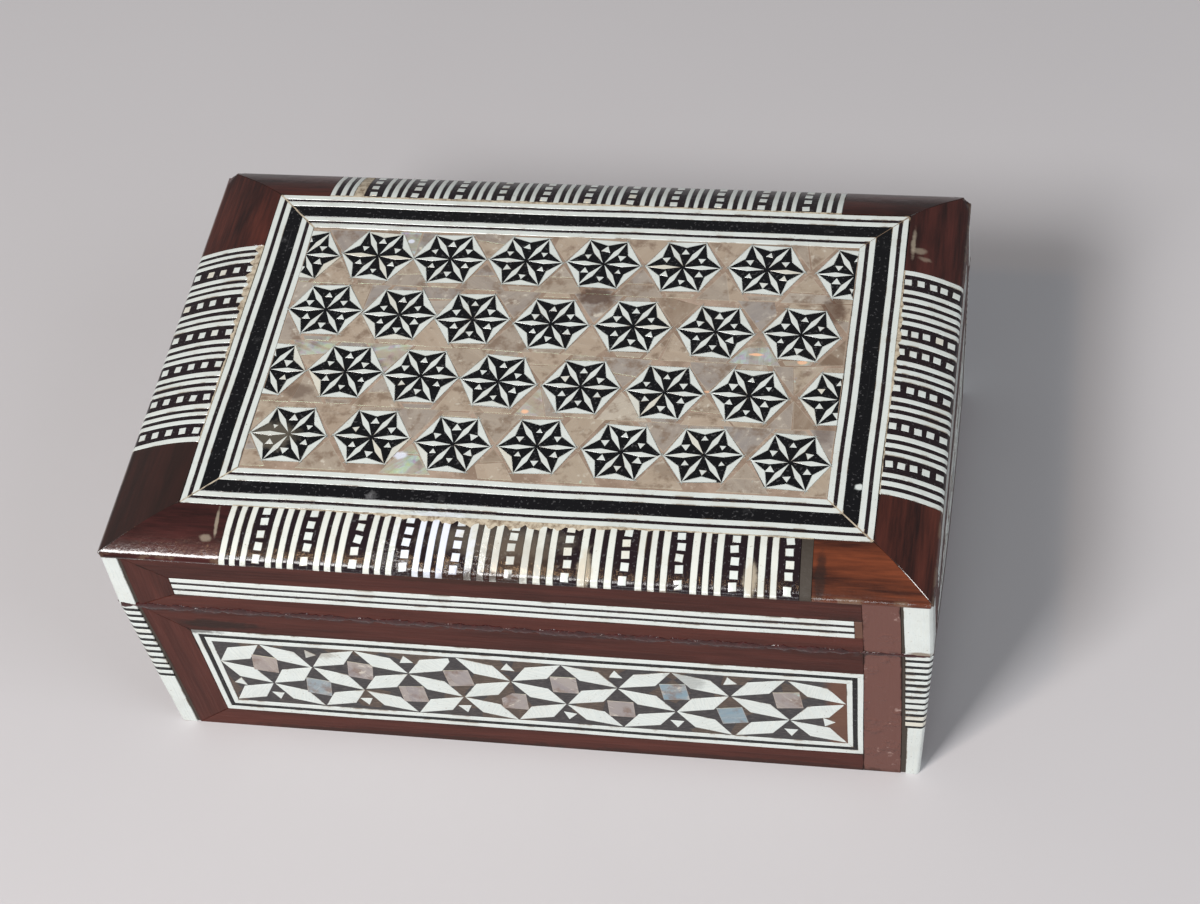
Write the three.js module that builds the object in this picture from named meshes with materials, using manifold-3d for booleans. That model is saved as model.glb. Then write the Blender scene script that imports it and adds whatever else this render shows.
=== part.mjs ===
// An inlaid trinket box: a hollow wooden base and a hollow lid that lifts off, dressed with thin
// plates of bone, black wood and mother-of-pearl. Millimetres, +Z up. The origin is under the
// middle of the box, on the surface it stands on, and the front of the box faces -Y.

import * as THREE from 'three';
import { mergeVertices } from 'three/addons/utils/BufferGeometryUtils.js';
import Module from 'manifold-3d';

const wasm = await Module();
wasm.setup();

// Outside of the box
const boxLength = 125;
const boxDepth = 82.5;
const baseHeight = 31;
const lidSideHeight = 12.4;
const bevelRise = 3.4;
const frontCornerCut = 0.6;
const backCornerCut = 1.4;

// Walls of the two hollow boxes
const baseWall = 5;
const floorThickness = 3.5;
const lidRoof = 4;

// The lid rests on the base's rim and a low lip inside the rim keeps it in place
const seamGap = 0.3;
const lipThickness = 1.6;
const lipHeight = 2.4;
const lipClearance = 0.35;

// Inlaid plates, and the gap that each keeps to the wood and to its neighbours
const inlayThickness = 1.2;
const fitGap = 0.3;

// Bone and striped strips that wrap the corners, with the same width on both faces
const cornerStripWidth = 3.85;
const cornerStripThickness = 1.4;
const boneFootHeight = 12.5;

// Brown frames left round the inlaid panels of the four sides
const stileWidth = 6.45;
const baseTopRail = 4.5;
const baseBottomRail = 4.9;
const lidLineHeight = 3.95;
const lidLineRail = 3.3;

// Top of the lid: a convex bevel, then a frame of lines round the mosaic. The frame sits a
// little to the right of the middle, as on the handmade original.
const bevelWidthAtEnds = 10.5;
const bevelWidthAtFront = 8.35;
const bevelRoundness = 1.6;
const bevelSteps = 12;
const frameShift = 1.3;
const cornerWoodLength = 19.6;
const outerLinesWidth = 2.45;
const blackBandWidth = 2.4;
const innerLinesWidth = 2.45;

// Worked out from the sizes above
const halfLength = boxLength / 2;
const halfDepth = boxDepth / 2;
const lidBottom = baseHeight + seamGap;
const bevelEdge = lidBottom + lidSideHeight;
const boxTop = bevelEdge + bevelRise;
const bedHeight = boxTop - inlayThickness - fitGap;
const lidWall = baseWall - lipThickness - lipClearance;
const lidCeiling = bedHeight - lidRoof;
const frameHalfLength = halfLength - bevelWidthAtEnds;
const frameHalfDepth = halfDepth - bevelWidthAtFront;
const overcut = 5;

const materials = {
  sideWood: { color: 0x5a2f2a, roughness: 0.4, metalness: 0 },
  bevelWood: { color: 0x47201b, roughness: 0.25, metalness: 0 },
  bone: { color: 0xe1e6e4, roughness: 0.45, metalness: 0 },
  stripes: { color: 0x8f9390, roughness: 0.4, metalness: 0 },
  lines: { color: 0xb9bebd, roughness: 0.4, metalness: 0 },
  blackWood: { color: 0x16171a, roughness: 0.4, metalness: 0 },
  starPanel: { color: 0x9c9f9e, roughness: 0.45, metalness: 0 },
  mosaic: { color: 0xaa9b8c, roughness: 0.3, metalness: 0 },
};

// The four sides: each is turned about the middle of the box, and reach is how far its face is
// from the middle while halfSpan is half its own length
const sides = {
  front: { turn: 0, reach: halfDepth, halfSpan: halfLength },
  right: { turn: Math.PI / 2, reach: halfLength, halfSpan: halfDepth },
  back: { turn: Math.PI, reach: halfDepth, halfSpan: halfLength },
  left: { turn: -Math.PI / 2, reach: halfLength, halfSpan: halfDepth },
};

// The four corners, as the signs of x and y
const corners = {
  front_left: [-1, -1],
  front_right: [1, -1],
  back_right: [1, 1],
  back_left: [-1, 1],
};

// A closed solid from a geometry
function solidFrom(geometry) {
  geometry.deleteAttribute('normal');
  geometry.deleteAttribute('uv');
  const merged = mergeVertices(geometry);
  return new wasm.Manifold(new wasm.Mesh({
    numProp: 3,
    vertProperties: Float32Array.from(merged.attributes.position.array),
    triVerts: Uint32Array.from(merged.index.array),
  }));
}

// A geometry from a closed solid
function geometryFrom(solid) {
  const { vertProperties, triVerts } = solid.getMesh();
  const geometry = new THREE.BufferGeometry();
  geometry.setAttribute('position', new THREE.BufferAttribute(vertProperties, 3));
  geometry.setIndex(new THREE.BufferAttribute(triVerts, 1));
  geometry.computeVertexNormals();
  return geometry;
}

// A straight prism over a plan outline, from height low to height high
function prism(outline, low, high) {
  const shape = new THREE.Shape(outline);
  const geometry = new THREE.ExtrudeGeometry(shape, { depth: high - low, bevelEnabled: false });
  geometry.translate(0, 0, low);
  return solidFrom(geometry);
}

// A rectangular block in a side's own frame: along the side, in from its face, and up
function sideBlock(side, along, inwards, heights) {
  const size = [along[1] - along[0], inwards[1] - inwards[0], heights[1] - heights[0]];
  const geometry = new THREE.BoxGeometry(...size);
  geometry.translate(
    (along[0] + along[1]) / 2,
    (inwards[0] + inwards[1]) / 2 - side.reach,
    (heights[0] + heights[1]) / 2,
  );
  geometry.rotateZ(side.turn);
  return solidFrom(geometry);
}

// The plan of the box moved in by a margin: a rectangle with small cuts at the front corners and
// larger ones at the back, which are worn rounder
function boxOutline(margin) {
  const x = halfLength - margin;
  const y = halfDepth - margin;
  const shrink = margin * (2 - Math.SQRT2);
  const front = Math.max(frontCornerCut - shrink, 0.05);
  const back = Math.max(backCornerCut - shrink, 0.05);
  return [
    [-x + front, -y], [x - front, -y], [x, -y + front], [x, y - back],
    [x - back, y], [-x + back, y], [-x, y - back], [-x, -y + front],
  ].map(([px, py]) => new THREE.Vector2(px, py));
}

// A convex outline, counterclockwise, with every edge moved in by the same distance
function insetOutline(points, distance) {
  const edges = points.map((point, i) => {
    const next = points[(i + 1) % points.length];
    const direction = next.clone().sub(point).normalize();
    const inward = new THREE.Vector2(-direction.y, direction.x);
    return { start: point.clone().addScaledVector(inward, distance), direction };
  });
  return edges.map((edge, i) => {
    const before = edges[(i + edges.length - 1) % edges.length];
    const gap = edge.start.clone().sub(before.start);
    const reach = gap.cross(edge.direction) / before.direction.cross(edge.direction);
    return before.start.clone().addScaledVector(before.direction, reach);
  });
}

// A flat plate over an outline, half a gap smaller all round, its top level with the lid's top
function topPlate(outline) {
  return prism(insetOutline(outline, fitGap / 2), boxTop - inlayThickness, boxTop);
}

// The convex bevel as a closed stack of rectangles, lowered by drop. The share runs from 0 at the
// lid's edge to 1 at the frame, and the height follows 1 - (1 - share) ^ roundness.
function bevelStack(drop, bottom) {
  const levels = [{ share: 0, z: bottom }];
  for (let step = 0; step <= bevelSteps; step += 1) {
    const share = step / bevelSteps;
    levels.push({ share, z: bevelEdge - drop + bevelRise * (1 - (1 - share) ** bevelRoundness) });
  }
  const positions = [];
  for (const { share, z } of levels) {
    const x = halfLength - share * bevelWidthAtEnds;
    const y = halfDepth - share * bevelWidthAtFront;
    const shift = share * frameShift;
    positions.push(shift - x, -y, z, shift + x, -y, z, shift + x, y, z, shift - x, y, z);
  }
  const last = 4 * (levels.length - 1);
  const indices = [0, 2, 1, 0, 3, 2, last, last + 1, last + 2, last, last + 2, last + 3];
  for (let lower = 0; lower < last; lower += 4) {
    for (let k = 0; k < 4; k += 1) {
      const a = lower + k;
      const b = lower + ((k + 1) % 4);
      indices.push(a, b, b + 4, a, b + 4, a + 4);
    }
  }
  const geometry = new THREE.BufferGeometry();
  geometry.setAttribute('position', new THREE.Float32BufferAttribute(positions, 3));
  geometry.setIndex(indices);
  return solidFrom(geometry);
}

// An L-shaped strip that wraps a corner, or its seat with extra given all round
function cornerStrip([signX, signY], low, high, extra) {
  const outwards = extra > 0 ? -overcut : 0;
  const width = cornerStripWidth + extra;
  const thickness = cornerStripThickness + extra;
  const outline = [
    [outwards, outwards], [width, outwards], [width, thickness],
    [thickness, thickness], [thickness, width], [outwards, width],
  ].map(([inX, inY]) => new THREE.Vector2(signX * (halfLength - inX), signY * (halfDepth - inY)));
  const strip = prism(outline, low, high);
  return extra > 0 ? strip : strip.intersect(prism(boxOutline(0), low - overcut, high + overcut));
}

// Half the length of a side's inlaid panel, between the two stiles
function panelHalfLength(side) {
  return side.halfSpan - cornerStripWidth - stileWidth;
}

// An inlaid plate in a side, or its seat with extra given all round and out through the face
function sideInlay(side, low, high, extra) {
  const half = panelHalfLength(side) + extra;
  const outwards = extra > 0 ? -overcut : 0;
  return sideBlock(side, [-half, half], [outwards, inlayThickness + extra], [low - extra, high + extra]);
}

const basePanelHeights = [baseBottomRail, baseHeight - baseTopRail];
const lidLineHeights = [lidBottom + lidLineRail, lidBottom + lidLineRail + lidLineHeight];
const lidBoneHeights = [lidBottom, bevelEdge - inlayThickness - fitGap];

// The hollow base: walls, floor and lip in one, with seats for its panels and corner strips
function baseCarcass() {
  const inside = sideBlock(
    sides.front,
    [baseWall - halfLength, halfLength - baseWall],
    [baseWall, boxDepth - baseWall],
    [floorThickness, baseHeight + lipHeight + overcut],
  );
  let carcass = prism(boxOutline(0), 0, baseHeight)
    .add(prism(boxOutline(lidWall + lipClearance), floorThickness, baseHeight + lipHeight))
    .subtract(inside);
  for (const side of Object.values(sides)) {
    carcass = carcass.subtract(sideInlay(side, ...basePanelHeights, fitGap));
  }
  for (const corner of Object.values(corners)) {
    carcass = carcass.subtract(cornerStrip(corner, -overcut, baseHeight + overcut, fitGap));
  }
  return carcass;
}

// The hollow lid: walls and roof in one, its top lowered for the bevel and the inlays
function lidCarcass() {
  let carcass = bevelStack(inlayThickness + fitGap, lidBottom)
    .intersect(prism(boxOutline(0), 0, boxTop + overcut))
    .subtract(prism(boxOutline(lidWall), lidBottom - overcut, lidCeiling));
  for (const side of Object.values(sides)) {
    carcass = carcass.subtract(sideInlay(side, ...lidLineHeights, fitGap));
  }
  for (const corner of Object.values(corners)) {
    carcass = carcass.subtract(
      cornerStrip(corner, lidBottom - overcut, lidBoneHeights[1] + fitGap, fitGap),
    );
  }
  return carcass;
}

// The curved skin of the bevel, before it is cut into striped bands and wooden corners
function bevelSkin() {
  const frameWell = sideBlock(
    sides.front,
    [frameShift - frameHalfLength - fitGap / 2, frameShift + frameHalfLength + fitGap / 2],
    [bevelWidthAtFront - fitGap / 2, boxDepth - bevelWidthAtFront + fitGap / 2],
    [0, boxTop + overcut],
  );
  return bevelStack(0, bevelEdge - inlayThickness)
    .subtract(bevelStack(inlayThickness, 0))
    .intersect(prism(boxOutline(0), 0, boxTop + overcut))
    .subtract(frameWell);
}

// Where the mitre of a corner meets the frame, and where it runs out past the box
function mitreEnds([signX, signY]) {
  const inner = new THREE.Vector2(frameShift + signX * frameHalfLength, signY * frameHalfDepth);
  const outer = new THREE.Vector2(signX * halfLength, signY * halfDepth);
  return { inner, past: inner.clone().lerp(outer, 2) };
}

// The plan of the wooden piece beside a mitre, up to the striped band at stop. Lengths and
// depths are swapped for the two ends of the box.
function cornerWoodOutline(corner, alongEnd) {
  const [signX, signY] = corner;
  const { inner, past } = mitreEnds(corner);
  const stop = alongEnd
    ? signY * (halfDepth - cornerWoodLength)
    : signX * (halfLength - cornerWoodLength);
  const outline = alongEnd
    ? [past, inner, new THREE.Vector2(inner.x, stop), new THREE.Vector2(past.x, stop)]
    : [past, inner, new THREE.Vector2(stop, inner.y), new THREE.Vector2(stop, past.y)];
  return THREE.ShapeUtils.isClockWise(outline) ? outline.reverse() : outline;
}

// The plan of a striped band, between the two wooden corners of its side
function stripedOutline(name) {
  const { reach, halfSpan } = sides[name];
  const half = halfSpan - cornerWoodLength;
  const outer = -reach - overcut;
  const middle = new THREE.Vector2();
  return [[-half, outer], [half, outer], [half, 0], [-half, 0]]
    .map(([x, y]) => new THREE.Vector2(x, y).rotateAround(middle, sides[name].turn));
}

// The plan of one mitred length of the frame, between two distances in from the frame's edge
function frameOutline(name, from, to) {
  const onLongSide = name === 'front' || name === 'back';
  const halfAlong = onLongSide ? frameHalfLength : frameHalfDepth;
  const halfAcross = onLongSide ? frameHalfDepth : frameHalfLength;
  const middle = new THREE.Vector2();
  return [
    [from - halfAlong, from - halfAcross], [halfAlong - from, from - halfAcross],
    [halfAlong - to, to - halfAcross], [to - halfAlong, to - halfAcross],
  ].map(([x, y]) => new THREE.Vector2(x, y).rotateAround(middle, sides[name].turn))
    .map((point) => point.add(new THREE.Vector2(frameShift, 0)));
}

const box = new THREE.Group();

// Adds one named piece to the box
function addPiece(name, solid, look) {
  const mesh = new THREE.Mesh(geometryFrom(solid), new THREE.MeshStandardMaterial(look));
  mesh.name = name;
  box.add(mesh);
}

addPiece('base_carcass', baseCarcass(), materials.sideWood);
addPiece('lid_carcass', lidCarcass(), materials.sideWood);

for (const [name, side] of Object.entries(sides)) {
  addPiece(`base_${name}_panel`, sideInlay(side, ...basePanelHeights, 0), materials.starPanel);
  addPiece(`lid_${name}_lines`, sideInlay(side, ...lidLineHeights, 0), materials.lines);
}

for (const [name, corner] of Object.entries(corners)) {
  const foot = cornerStrip(corner, 0, boneFootHeight - fitGap / 2, 0);
  const striped = cornerStrip(corner, boneFootHeight + fitGap / 2, baseHeight, 0);
  addPiece(`base_corner_bone_${name}`, foot, materials.bone);
  addPiece(`base_corner_stripes_${name}`, striped, materials.stripes);
  addPiece(`lid_corner_bone_${name}`, cornerStrip(corner, ...lidBoneHeights, 0), materials.bone);
}

const skin = bevelSkin();

// A part of the bevel's skin over an outline, half a gap smaller all round
function bevelPiece(outline) {
  return skin.intersect(prism(insetOutline(outline, fitGap / 2), 0, boxTop + overcut));
}

for (const name of Object.keys(sides)) {
  addPiece(`bevel_stripes_${name}`, bevelPiece(stripedOutline(name)), materials.stripes);
}

for (const [name, corner] of Object.entries(corners)) {
  const [longSide, end] = name.split('_');
  const onLongSide = bevelPiece(cornerWoodOutline(corner, false));
  const onEnd = bevelPiece(cornerWoodOutline(corner, true));
  addPiece(`bevel_wood_${longSide}_at_${end}`, onLongSide, materials.bevelWood);
  addPiece(`bevel_wood_${end}_at_${longSide}`, onEnd, materials.bevelWood);
}

const blackBandStart = outerLinesWidth;
const innerLinesStart = blackBandStart + blackBandWidth;
const mosaicStart = innerLinesStart + innerLinesWidth;

for (const name of Object.keys(sides)) {
  const outer = topPlate(frameOutline(name, 0, blackBandStart));
  const black = topPlate(frameOutline(name, blackBandStart, innerLinesStart));
  const inner = topPlate(frameOutline(name, innerLinesStart, mosaicStart));
  addPiece(`frame_outer_lines_${name}`, outer, materials.lines);
  addPiece(`frame_black_band_${name}`, black, materials.blackWood);
  addPiece(`frame_inner_lines_${name}`, inner, materials.lines);
}

const mosaicX = frameHalfLength - mosaicStart;
const mosaicY = frameHalfDepth - mosaicStart;
const mosaicOutline = [[-mosaicX, -mosaicY], [mosaicX, -mosaicY], [mosaicX, mosaicY], [-mosaicX, mosaicY]]
  .map(([x, y]) => new THREE.Vector2(x + frameShift, y));
addPiece('pearl_mosaic', topPlate(mosaicOutline), materials.mosaic);

export default box;
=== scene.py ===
import math

import bpy
import numpy as np
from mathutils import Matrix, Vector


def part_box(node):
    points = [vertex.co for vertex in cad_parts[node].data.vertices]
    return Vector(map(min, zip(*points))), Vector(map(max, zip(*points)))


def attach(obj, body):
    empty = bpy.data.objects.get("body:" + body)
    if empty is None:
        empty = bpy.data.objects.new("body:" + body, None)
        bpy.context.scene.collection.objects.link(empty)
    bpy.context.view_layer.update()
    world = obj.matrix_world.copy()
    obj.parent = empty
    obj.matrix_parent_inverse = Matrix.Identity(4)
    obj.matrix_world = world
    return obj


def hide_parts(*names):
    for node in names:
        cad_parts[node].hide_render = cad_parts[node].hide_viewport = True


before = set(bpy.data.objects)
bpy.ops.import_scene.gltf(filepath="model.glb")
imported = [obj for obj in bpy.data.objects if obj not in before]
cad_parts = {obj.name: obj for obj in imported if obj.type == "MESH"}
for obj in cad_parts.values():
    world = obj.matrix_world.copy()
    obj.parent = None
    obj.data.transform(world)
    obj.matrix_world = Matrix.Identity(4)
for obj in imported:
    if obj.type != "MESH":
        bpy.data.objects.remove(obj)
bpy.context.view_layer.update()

bl_info = {
    "name": "Inlaid trinket box",
    "version": (1, 0, 0),
    "blender": (4, 5, 0),
    "location": "3D View > Sidebar > Inlaid box",
    "description": "Dresses the packed box with its pieces of wood, bone, black wood and shell",
    "category": "Object",
}

MM = 0.001
X, Y, Z = 0, 1, 2
ROOT = "root"
FIT_GAP = 0.3
BEVEL_ROUNDNESS = 1.6


def low(node, axis):
    """The lowest coordinate of a CAD node along an axis, in millimetres."""
    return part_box(node)[0][axis] / MM


def high(node, axis):
    """The highest coordinate of a CAD node along an axis, in millimetres."""
    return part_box(node)[1][axis] / MM


# Sizes of the box, read from the frame
HALF_LENGTH = high("base_carcass", X)
HALF_DEPTH = high("base_carcass", Y)
BASE_RIM = high("base_corner_stripes_front_left", Z)
LIP_TOP = high("base_carcass", Z)
FOOT_TOP = high("base_corner_bone_front_left", Z) + FIT_GAP / 2
LID_BOTTOM = low("lid_carcass", Z)
TOP = high("pearl_mosaic", Z)
PLATE = TOP - low("pearl_mosaic", Z)
BEVEL_EDGE = low("bevel_stripes_front", Z) + PLATE
BEVEL_RISE = TOP - BEVEL_EDGE
BED = TOP - PLATE - FIT_GAP
CORNER_STRIP = high("base_corner_stripes_front_left", X) + HALF_LENGTH
FRAME_SHIFT = (low("pearl_mosaic", X) + high("pearl_mosaic", X)) / 2

# Walls, floor, roof and lip of the two hollow boxes: how far each face lies in from the outside
BASE_WALL = 5.0
BASE_FLOOR = 3.5
LIP_MARGIN = 3.4
LID_WALL = 3.05
LID_ROOF = 4.0
VENEER = 1.2
EASE = 0.25

# The four sides in order round the box, each with the turn that brings the front there
SIDES = ("front", "right", "back", "left")
TURN = {"front": 0, "right": 90, "back": 180, "left": -90}
REACH = {"front": HALF_DEPTH, "right": HALF_LENGTH, "back": HALF_DEPTH, "left": HALF_LENGTH}
SPAN = {"front": HALF_LENGTH, "right": HALF_DEPTH, "back": HALF_LENGTH, "left": HALF_DEPTH}
CORNERS = {
    "front_left": (-1, -1),
    "front_right": (1, -1),
    "back_right": (1, 1),
    "back_left": (-1, 1),
}

# The corner past the high end of each side, and how far each corner is cut or rounded
CORNER_AFTER = dict(zip(SIDES, ("front_right", "back_right", "back_left", "front_left")))
CORNER_CUTS = {"front_left": 0.7, "front_right": 0.5, "back_right": 1.4, "back_left": 1.4}

# Width of the corner strips and of the room left for them by the veneer, at four heights: the
# bottom, both sides of the joint above the foot, the rim and the lid's top. Handmade and uneven.
STRIP_HEIGHTS = (0.0, FOOT_TOP - 0.05, FOOT_TOP, BASE_RIM, BEVEL_EDGE)
STRIP_WIDTHS = {"front_right": (2.6, 3.0, 3.4, 4.3, 4.4), "front_left": (3.3, 3.4, 3.5, 3.2, 3.0)}
STRIP_ROOMS = {"front_right": (3.6, 4.0, 4.0, 4.75, 4.75), "front_left": (3.9, 4.0, 4.0, 3.8, 3.5)}
GROOVE = 0.45

# How far the foot of the base is drawn in at its left and right ends, from where along it, and
# over what depth from the front
LEANS = (2.7, 2.4)
LEAN_STARTS = (22.0, 46.0)
LEAN_DEPTH = 34.0
LEAN_AT_BACK = 0.4

# How far the top frame's outer edge lies in from each face of the box
FRAME_EDGE = {
    "front": HALF_DEPTH + low("frame_outer_lines_front", Y) - FIT_GAP / 2,
    "back": HALF_DEPTH - high("frame_outer_lines_back", Y) - FIT_GAP / 2,
    "left": HALF_LENGTH + low("frame_outer_lines_left", X) - FIT_GAP / 2,
    "right": HALF_LENGTH - high("frame_outer_lines_right", X) - FIT_GAP / 2,
}
FRAME_HALF = {
    side: SPAN[side] - (FRAME_EDGE["left"] + FRAME_EDGE["right"]) / 2
    if side in ("front", "back")
    else SPAN[side] - FRAME_EDGE["front"]
    for side in SIDES
}
BLACK_BAND = (
    high("frame_outer_lines_front", Y) - low("frame_outer_lines_front", Y) + FIT_GAP,
    low("frame_inner_lines_front", Y) - low("frame_outer_lines_front", Y),
)
FRAME_WIDTH = low("pearl_mosaic", Y) - low("frame_outer_lines_front", Y)
MOSAIC_HALF = (
    (high("pearl_mosaic", X) - low("pearl_mosaic", X) + FIT_GAP) / 2,
    (high("pearl_mosaic", Y) - low("pearl_mosaic", Y) + FIT_GAP) / 2,
)
PANEL_HALF = {
    side: high(f"base_{side}_panel", X if side in ("front", "back") else Y) for side in SIDES
}

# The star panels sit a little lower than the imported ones, more so at their upper edge
PANEL_DROPS = (0.45, 0.9)
PANEL_HEIGHTS = (
    low("base_front_panel", Z) - PANEL_DROPS[0], high("base_front_panel", Z) - PANEL_DROPS[1],
)
LINE_HEIGHTS = (low("lid_front_lines", Z), high("lid_front_lines", Z))

# The strips along each striped band, from its left end to its right end seen from outside:
# b black, w bone, c black with bone squares, p putty
GROUP = "wbwbw"
BAND_ORDER = {
    "front": (GROUP + "c") * 11 + "p",
    "right": (GROUP + "c") * 4 + "wc" + GROUP + "bwbwcw",
    "back": (GROUP + "c") * 11 + "p" + GROUP,
    "left": (GROUP + "c") * 6 + "w",
}
BAND_ENDS = {
    "front": (-42.3, 44.8),
    "right": (-24.0, 21.0),
    "back": (-42.4, 42.3),
    "left": (-21.0, 21.0),
}

# The rounded edge of a corner: how far it reaches and how deep it goes, as shares of its cut
CORNER_EASE = 1.7
CORNER_EASE_DEPTH = 0.29

# The rounded nose at the bevel's lower edge, and how much closer together points lie there
NOSE_WIDTH = 0.55
NOSE_DEPTH = 0.4
EDGE_CROWDING = 0.35

# How deep plates go and how far they lie below the outermost faces
SINK = 0.9
VENEER_LIFT = -0.2
INLAY_LIFT = -0.17
TOP_LIFT = -0.055
BEVEL_LIP = 0.6
LINE_JOINT = 0.025
MITRE_GAP = 0.12
SIDE_INLAY = {"sink": SINK, "lift": INLAY_LIFT, "gloss": 0.4, "rim": 0.04}

# Half the length of a rhomb's short diagonal on a side panel, across and up
STAR_RHOMB = (1.6, 1.25)
TRIANGLE_RADIUS = 1.25

# Small triangles above and below the rows of stars, as shares of the panel's height, and beside
# the end ones, as a share of a star's length
TRIANGLE_ABOVE = 1 / 4.6
TRIANGLE_BELOW = 1 / 5.2
TRIANGLE_ASIDE = 0.7

# Rhombs join two stars that stand less than this many half periods apart
JOINED_WITHIN = 1.6

# Filler at the right end of the lid's front lines, and bare wood above the lid's corner bone
FILLER_LENGTH = 1.2
CORNER_BONE_GAP = 0.15

# Tone of the bone strips in each side's band, and how many squares lie across the band
BAND_TONES = {"front": 0.94, "right": 0.5, "back": 0.5, "left": 0.91}
SQUARES_ACROSS = {"front": 5, "right": 5, "back": 4, "left": 5}

# How far the back corners of the bevel are cut off
BACK_BLUNT = 2.7

# How far the strips of the front band slant at its lower edge, at places along it, how wide the
# bone strips of the other bands are, and how wide each group of strips at the front is
SLANT_PLACES = (-57.0, -42.3, -25.0, 10.0, 44.8, 57.0)
SLANTS = (0.0, -1.0, -0.85, -0.3, 0.3, 0.0)
PLAIN_BONE_SHARE = 0.86
GROUP_WIDTHS = (0.93, 0.94, 0.96, 0.96, 1.0, 1.06, 1.08, 1.06, 1.0, 0.98, 1.03, 1.0)

# How far rosettes lie off their even places: sideways and slanted, for each row from the front
ROW_HEIGHTS = (-18.0, -6.0, 6.5, 19.0)
ROW_DRIFTS = (-0.3, 1.4, 1.6, 1.9)
ROW_TILTS = (0.2, 1.0, 1.0, -0.3)
PANEL_DRIFT = 2.25
SQUARE_TONES = (0.56, 0.64, 0.65, 0.63, 1.0, 0.6, 0.97, 0.63, 0.62, 0.66, 1.0)
ROW_SHIFT = 0.45

# Gap between the pieces of shell, and between them and the frame
CHIP_GAP = 0.12

# Warmer pieces among the wooden corners
WARM_CORNERS = {("front", "right"): 0.95, ("right", "front"): 0.3, ("front", "left"): 0.05,
                ("left", "front"): 0.15}
DARK_CORNER = ("left", "front")
MITRE_WIDTHS = {"front_left": 0.16, "front_right": 0.42, "back_right": 0.5, "back_left": 0.15}
MITRE_TONES = {"front_left": 0.1, "front_right": 0.15, "back_right": 0.5, "back_left": 0.0}

# Putty between each striped band and the frame: where it swells, how far along, and how wide
EDGE_PUTTY = {"front": (-1.0, 16.0, 1.0), "right": (6.0, 9.0, 0.45), "back": (10.0, 20.0, 0.2),
              "left": (-16.0, 16.0, 0.9)}

# Stains and painted glints: middle and reach in millimetres, the colour they take and how strongly
MOSAIC_STAINS_AND_GLINTS = (
    # On the mosaic, warm_glint and painted_glare are painted highlights: lamp light reflected by the
    # shell, not stains
    ((32.3, 2.0, TOP), (1.2, 0.3, 1.0), "warm_glint", 0.95),
    ((39.5, 0.8, TOP), (0.8, 0.5, 1.0), "warm_glint", 0.8),
    ((-1.4, -11.7, TOP), (0.7, 0.5, 1.0), "warm_glint", 0.9),
    ((26.0, -6.0, TOP), (0.8, 0.3, 1.0), "warm_glint", 0.7),
    ((-26.5, 23.3, TOP), (0.6, 0.5, 1.0), "painted_glare", 0.9),
    ((-18.8, -21.6, TOP), (1.3, 0.8, 1.0), "painted_glare", 0.85),
    ((5.7, 12.8, TOP), (3.2, 2.2, 3.0), "stain", 0.8),
    ((43.2, 12.0, TOP), (2.2, 3.2, 3.0), "stain", 0.7),
    ((-37.7, -9.8, TOP), (2.6, 1.7, 3.0), "stain", 0.55),
    ((44.0, -12.5, TOP), (1.6, 3.0, 3.0), "stain", 0.4),
    ((23.0, -21.5, TOP), (4.5, 2.0, 3.0), "stain", 0.35),
)
INLAY_STAINS = (
    ((-1.0, -36.0, 46.0), (12.0, 3.0, 3.0), "putty", 0.12),
    ((2.0, -38.5, 45.0), (7.0, 4.0, 4.0), "putty_dark", 0.2),
    ((12.1, -39.5, 45.0), (1.2, 3.0, 3.0), "putty", 0.6),
    ((36.2, -39.5, 45.0), (1.1, 3.0, 3.0), "putty", 0.6),
    ((-6.0, -41.0, 43.9), (9.0, 1.1, 1.3), "varnish", 0.85),
    ((60.6, -41.2, 31.6), (2.2, 0.9, 0.6), "putty_dark", 0.85),
    ((-50.5, -41.2, 25.7), (4.0, 1.0, 0.9), "grime", 0.8),
    ((25.0, -41.2, 20.5), (3.4, 1.0, 2.6), "grime", 0.35),
    ((-33.0, -41.2, 21.5), (4.0, 1.0, 1.6), "putty_dark", 0.45),
    ((50.3, -23.0, TOP), (0.75, 0.6, 1.0), "bone", 0.95),
    ((-39.5, -19.0, TOP), (4.0, 3.2, 2.0), "putty", 0.16),
    ((-60.6, -41.2, 6.0), (1.3, 1.0, 1.8), "putty_dark", 0.3),
)
WOOD_STAINS = (
    ((-47.0, -41.2, 27.5), (7.0, 1.0, 1.3), "grime", 0.85),
    ((49.5, -41.2, 38.5), (3.4, 1.0, 1.5), "grime", 0.6),
    # The next two marks darken the front along its lowest millimetre, over its whole length
    ((-20.0, -41.2, 0.4), (30.0, 1.0, 1.0), "grime", 0.6),
    ((30.0, -41.2, 0.4), (30.0, 1.0, 1.0), "grime", 0.6),
    ((-8.0, -41.2, 42.3), (16.0, 1.0, 0.7), "varnish", 0.7),
)

BEVEL_STAINS = (
    ((-44.2, -35.6, 45.5), (0.35, 2.6, 3.0), "putty", 0.4),
    ((-45.6, -38.2, 44.8), (1.1, 0.6, 3.0), "putty", 0.3),
    ((54.3, 27.0, 45.5), (0.45, 3.8, 3.0), "putty", 0.4),
    ((55.3, 25.6, 45.5), (1.5, 0.8, 3.0), "putty", 0.3),
    ((56.2, 24.0, 45.0), (1.2, 0.6, 3.0), "putty", 0.25),
    ((46.2, -38.5, 45.0), (0.9, 4.0, 4.0), "grime", 0.7),
)

# Middle of the thick lumps of varnish on the front band, and of the painted reflection on its bone
VARNISH_POOL = (-10.8, -37.3, 45.0)

# Places on top where a piece of shell gets a painted glint in rainbow colours: x, y and how strongly
PAINTED_GLINTS = (
    (-18.5, -22.0, 0.9), (32.3, 2.0, 0.3), (-1.3, -11.4, 0.3), (39.7, 0.7, 0.3),
    (-26.3, 23.4, 0.4), (-36.9, 0.3, 0.4), (-24.4, -1.3, 0.35),
)

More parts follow.
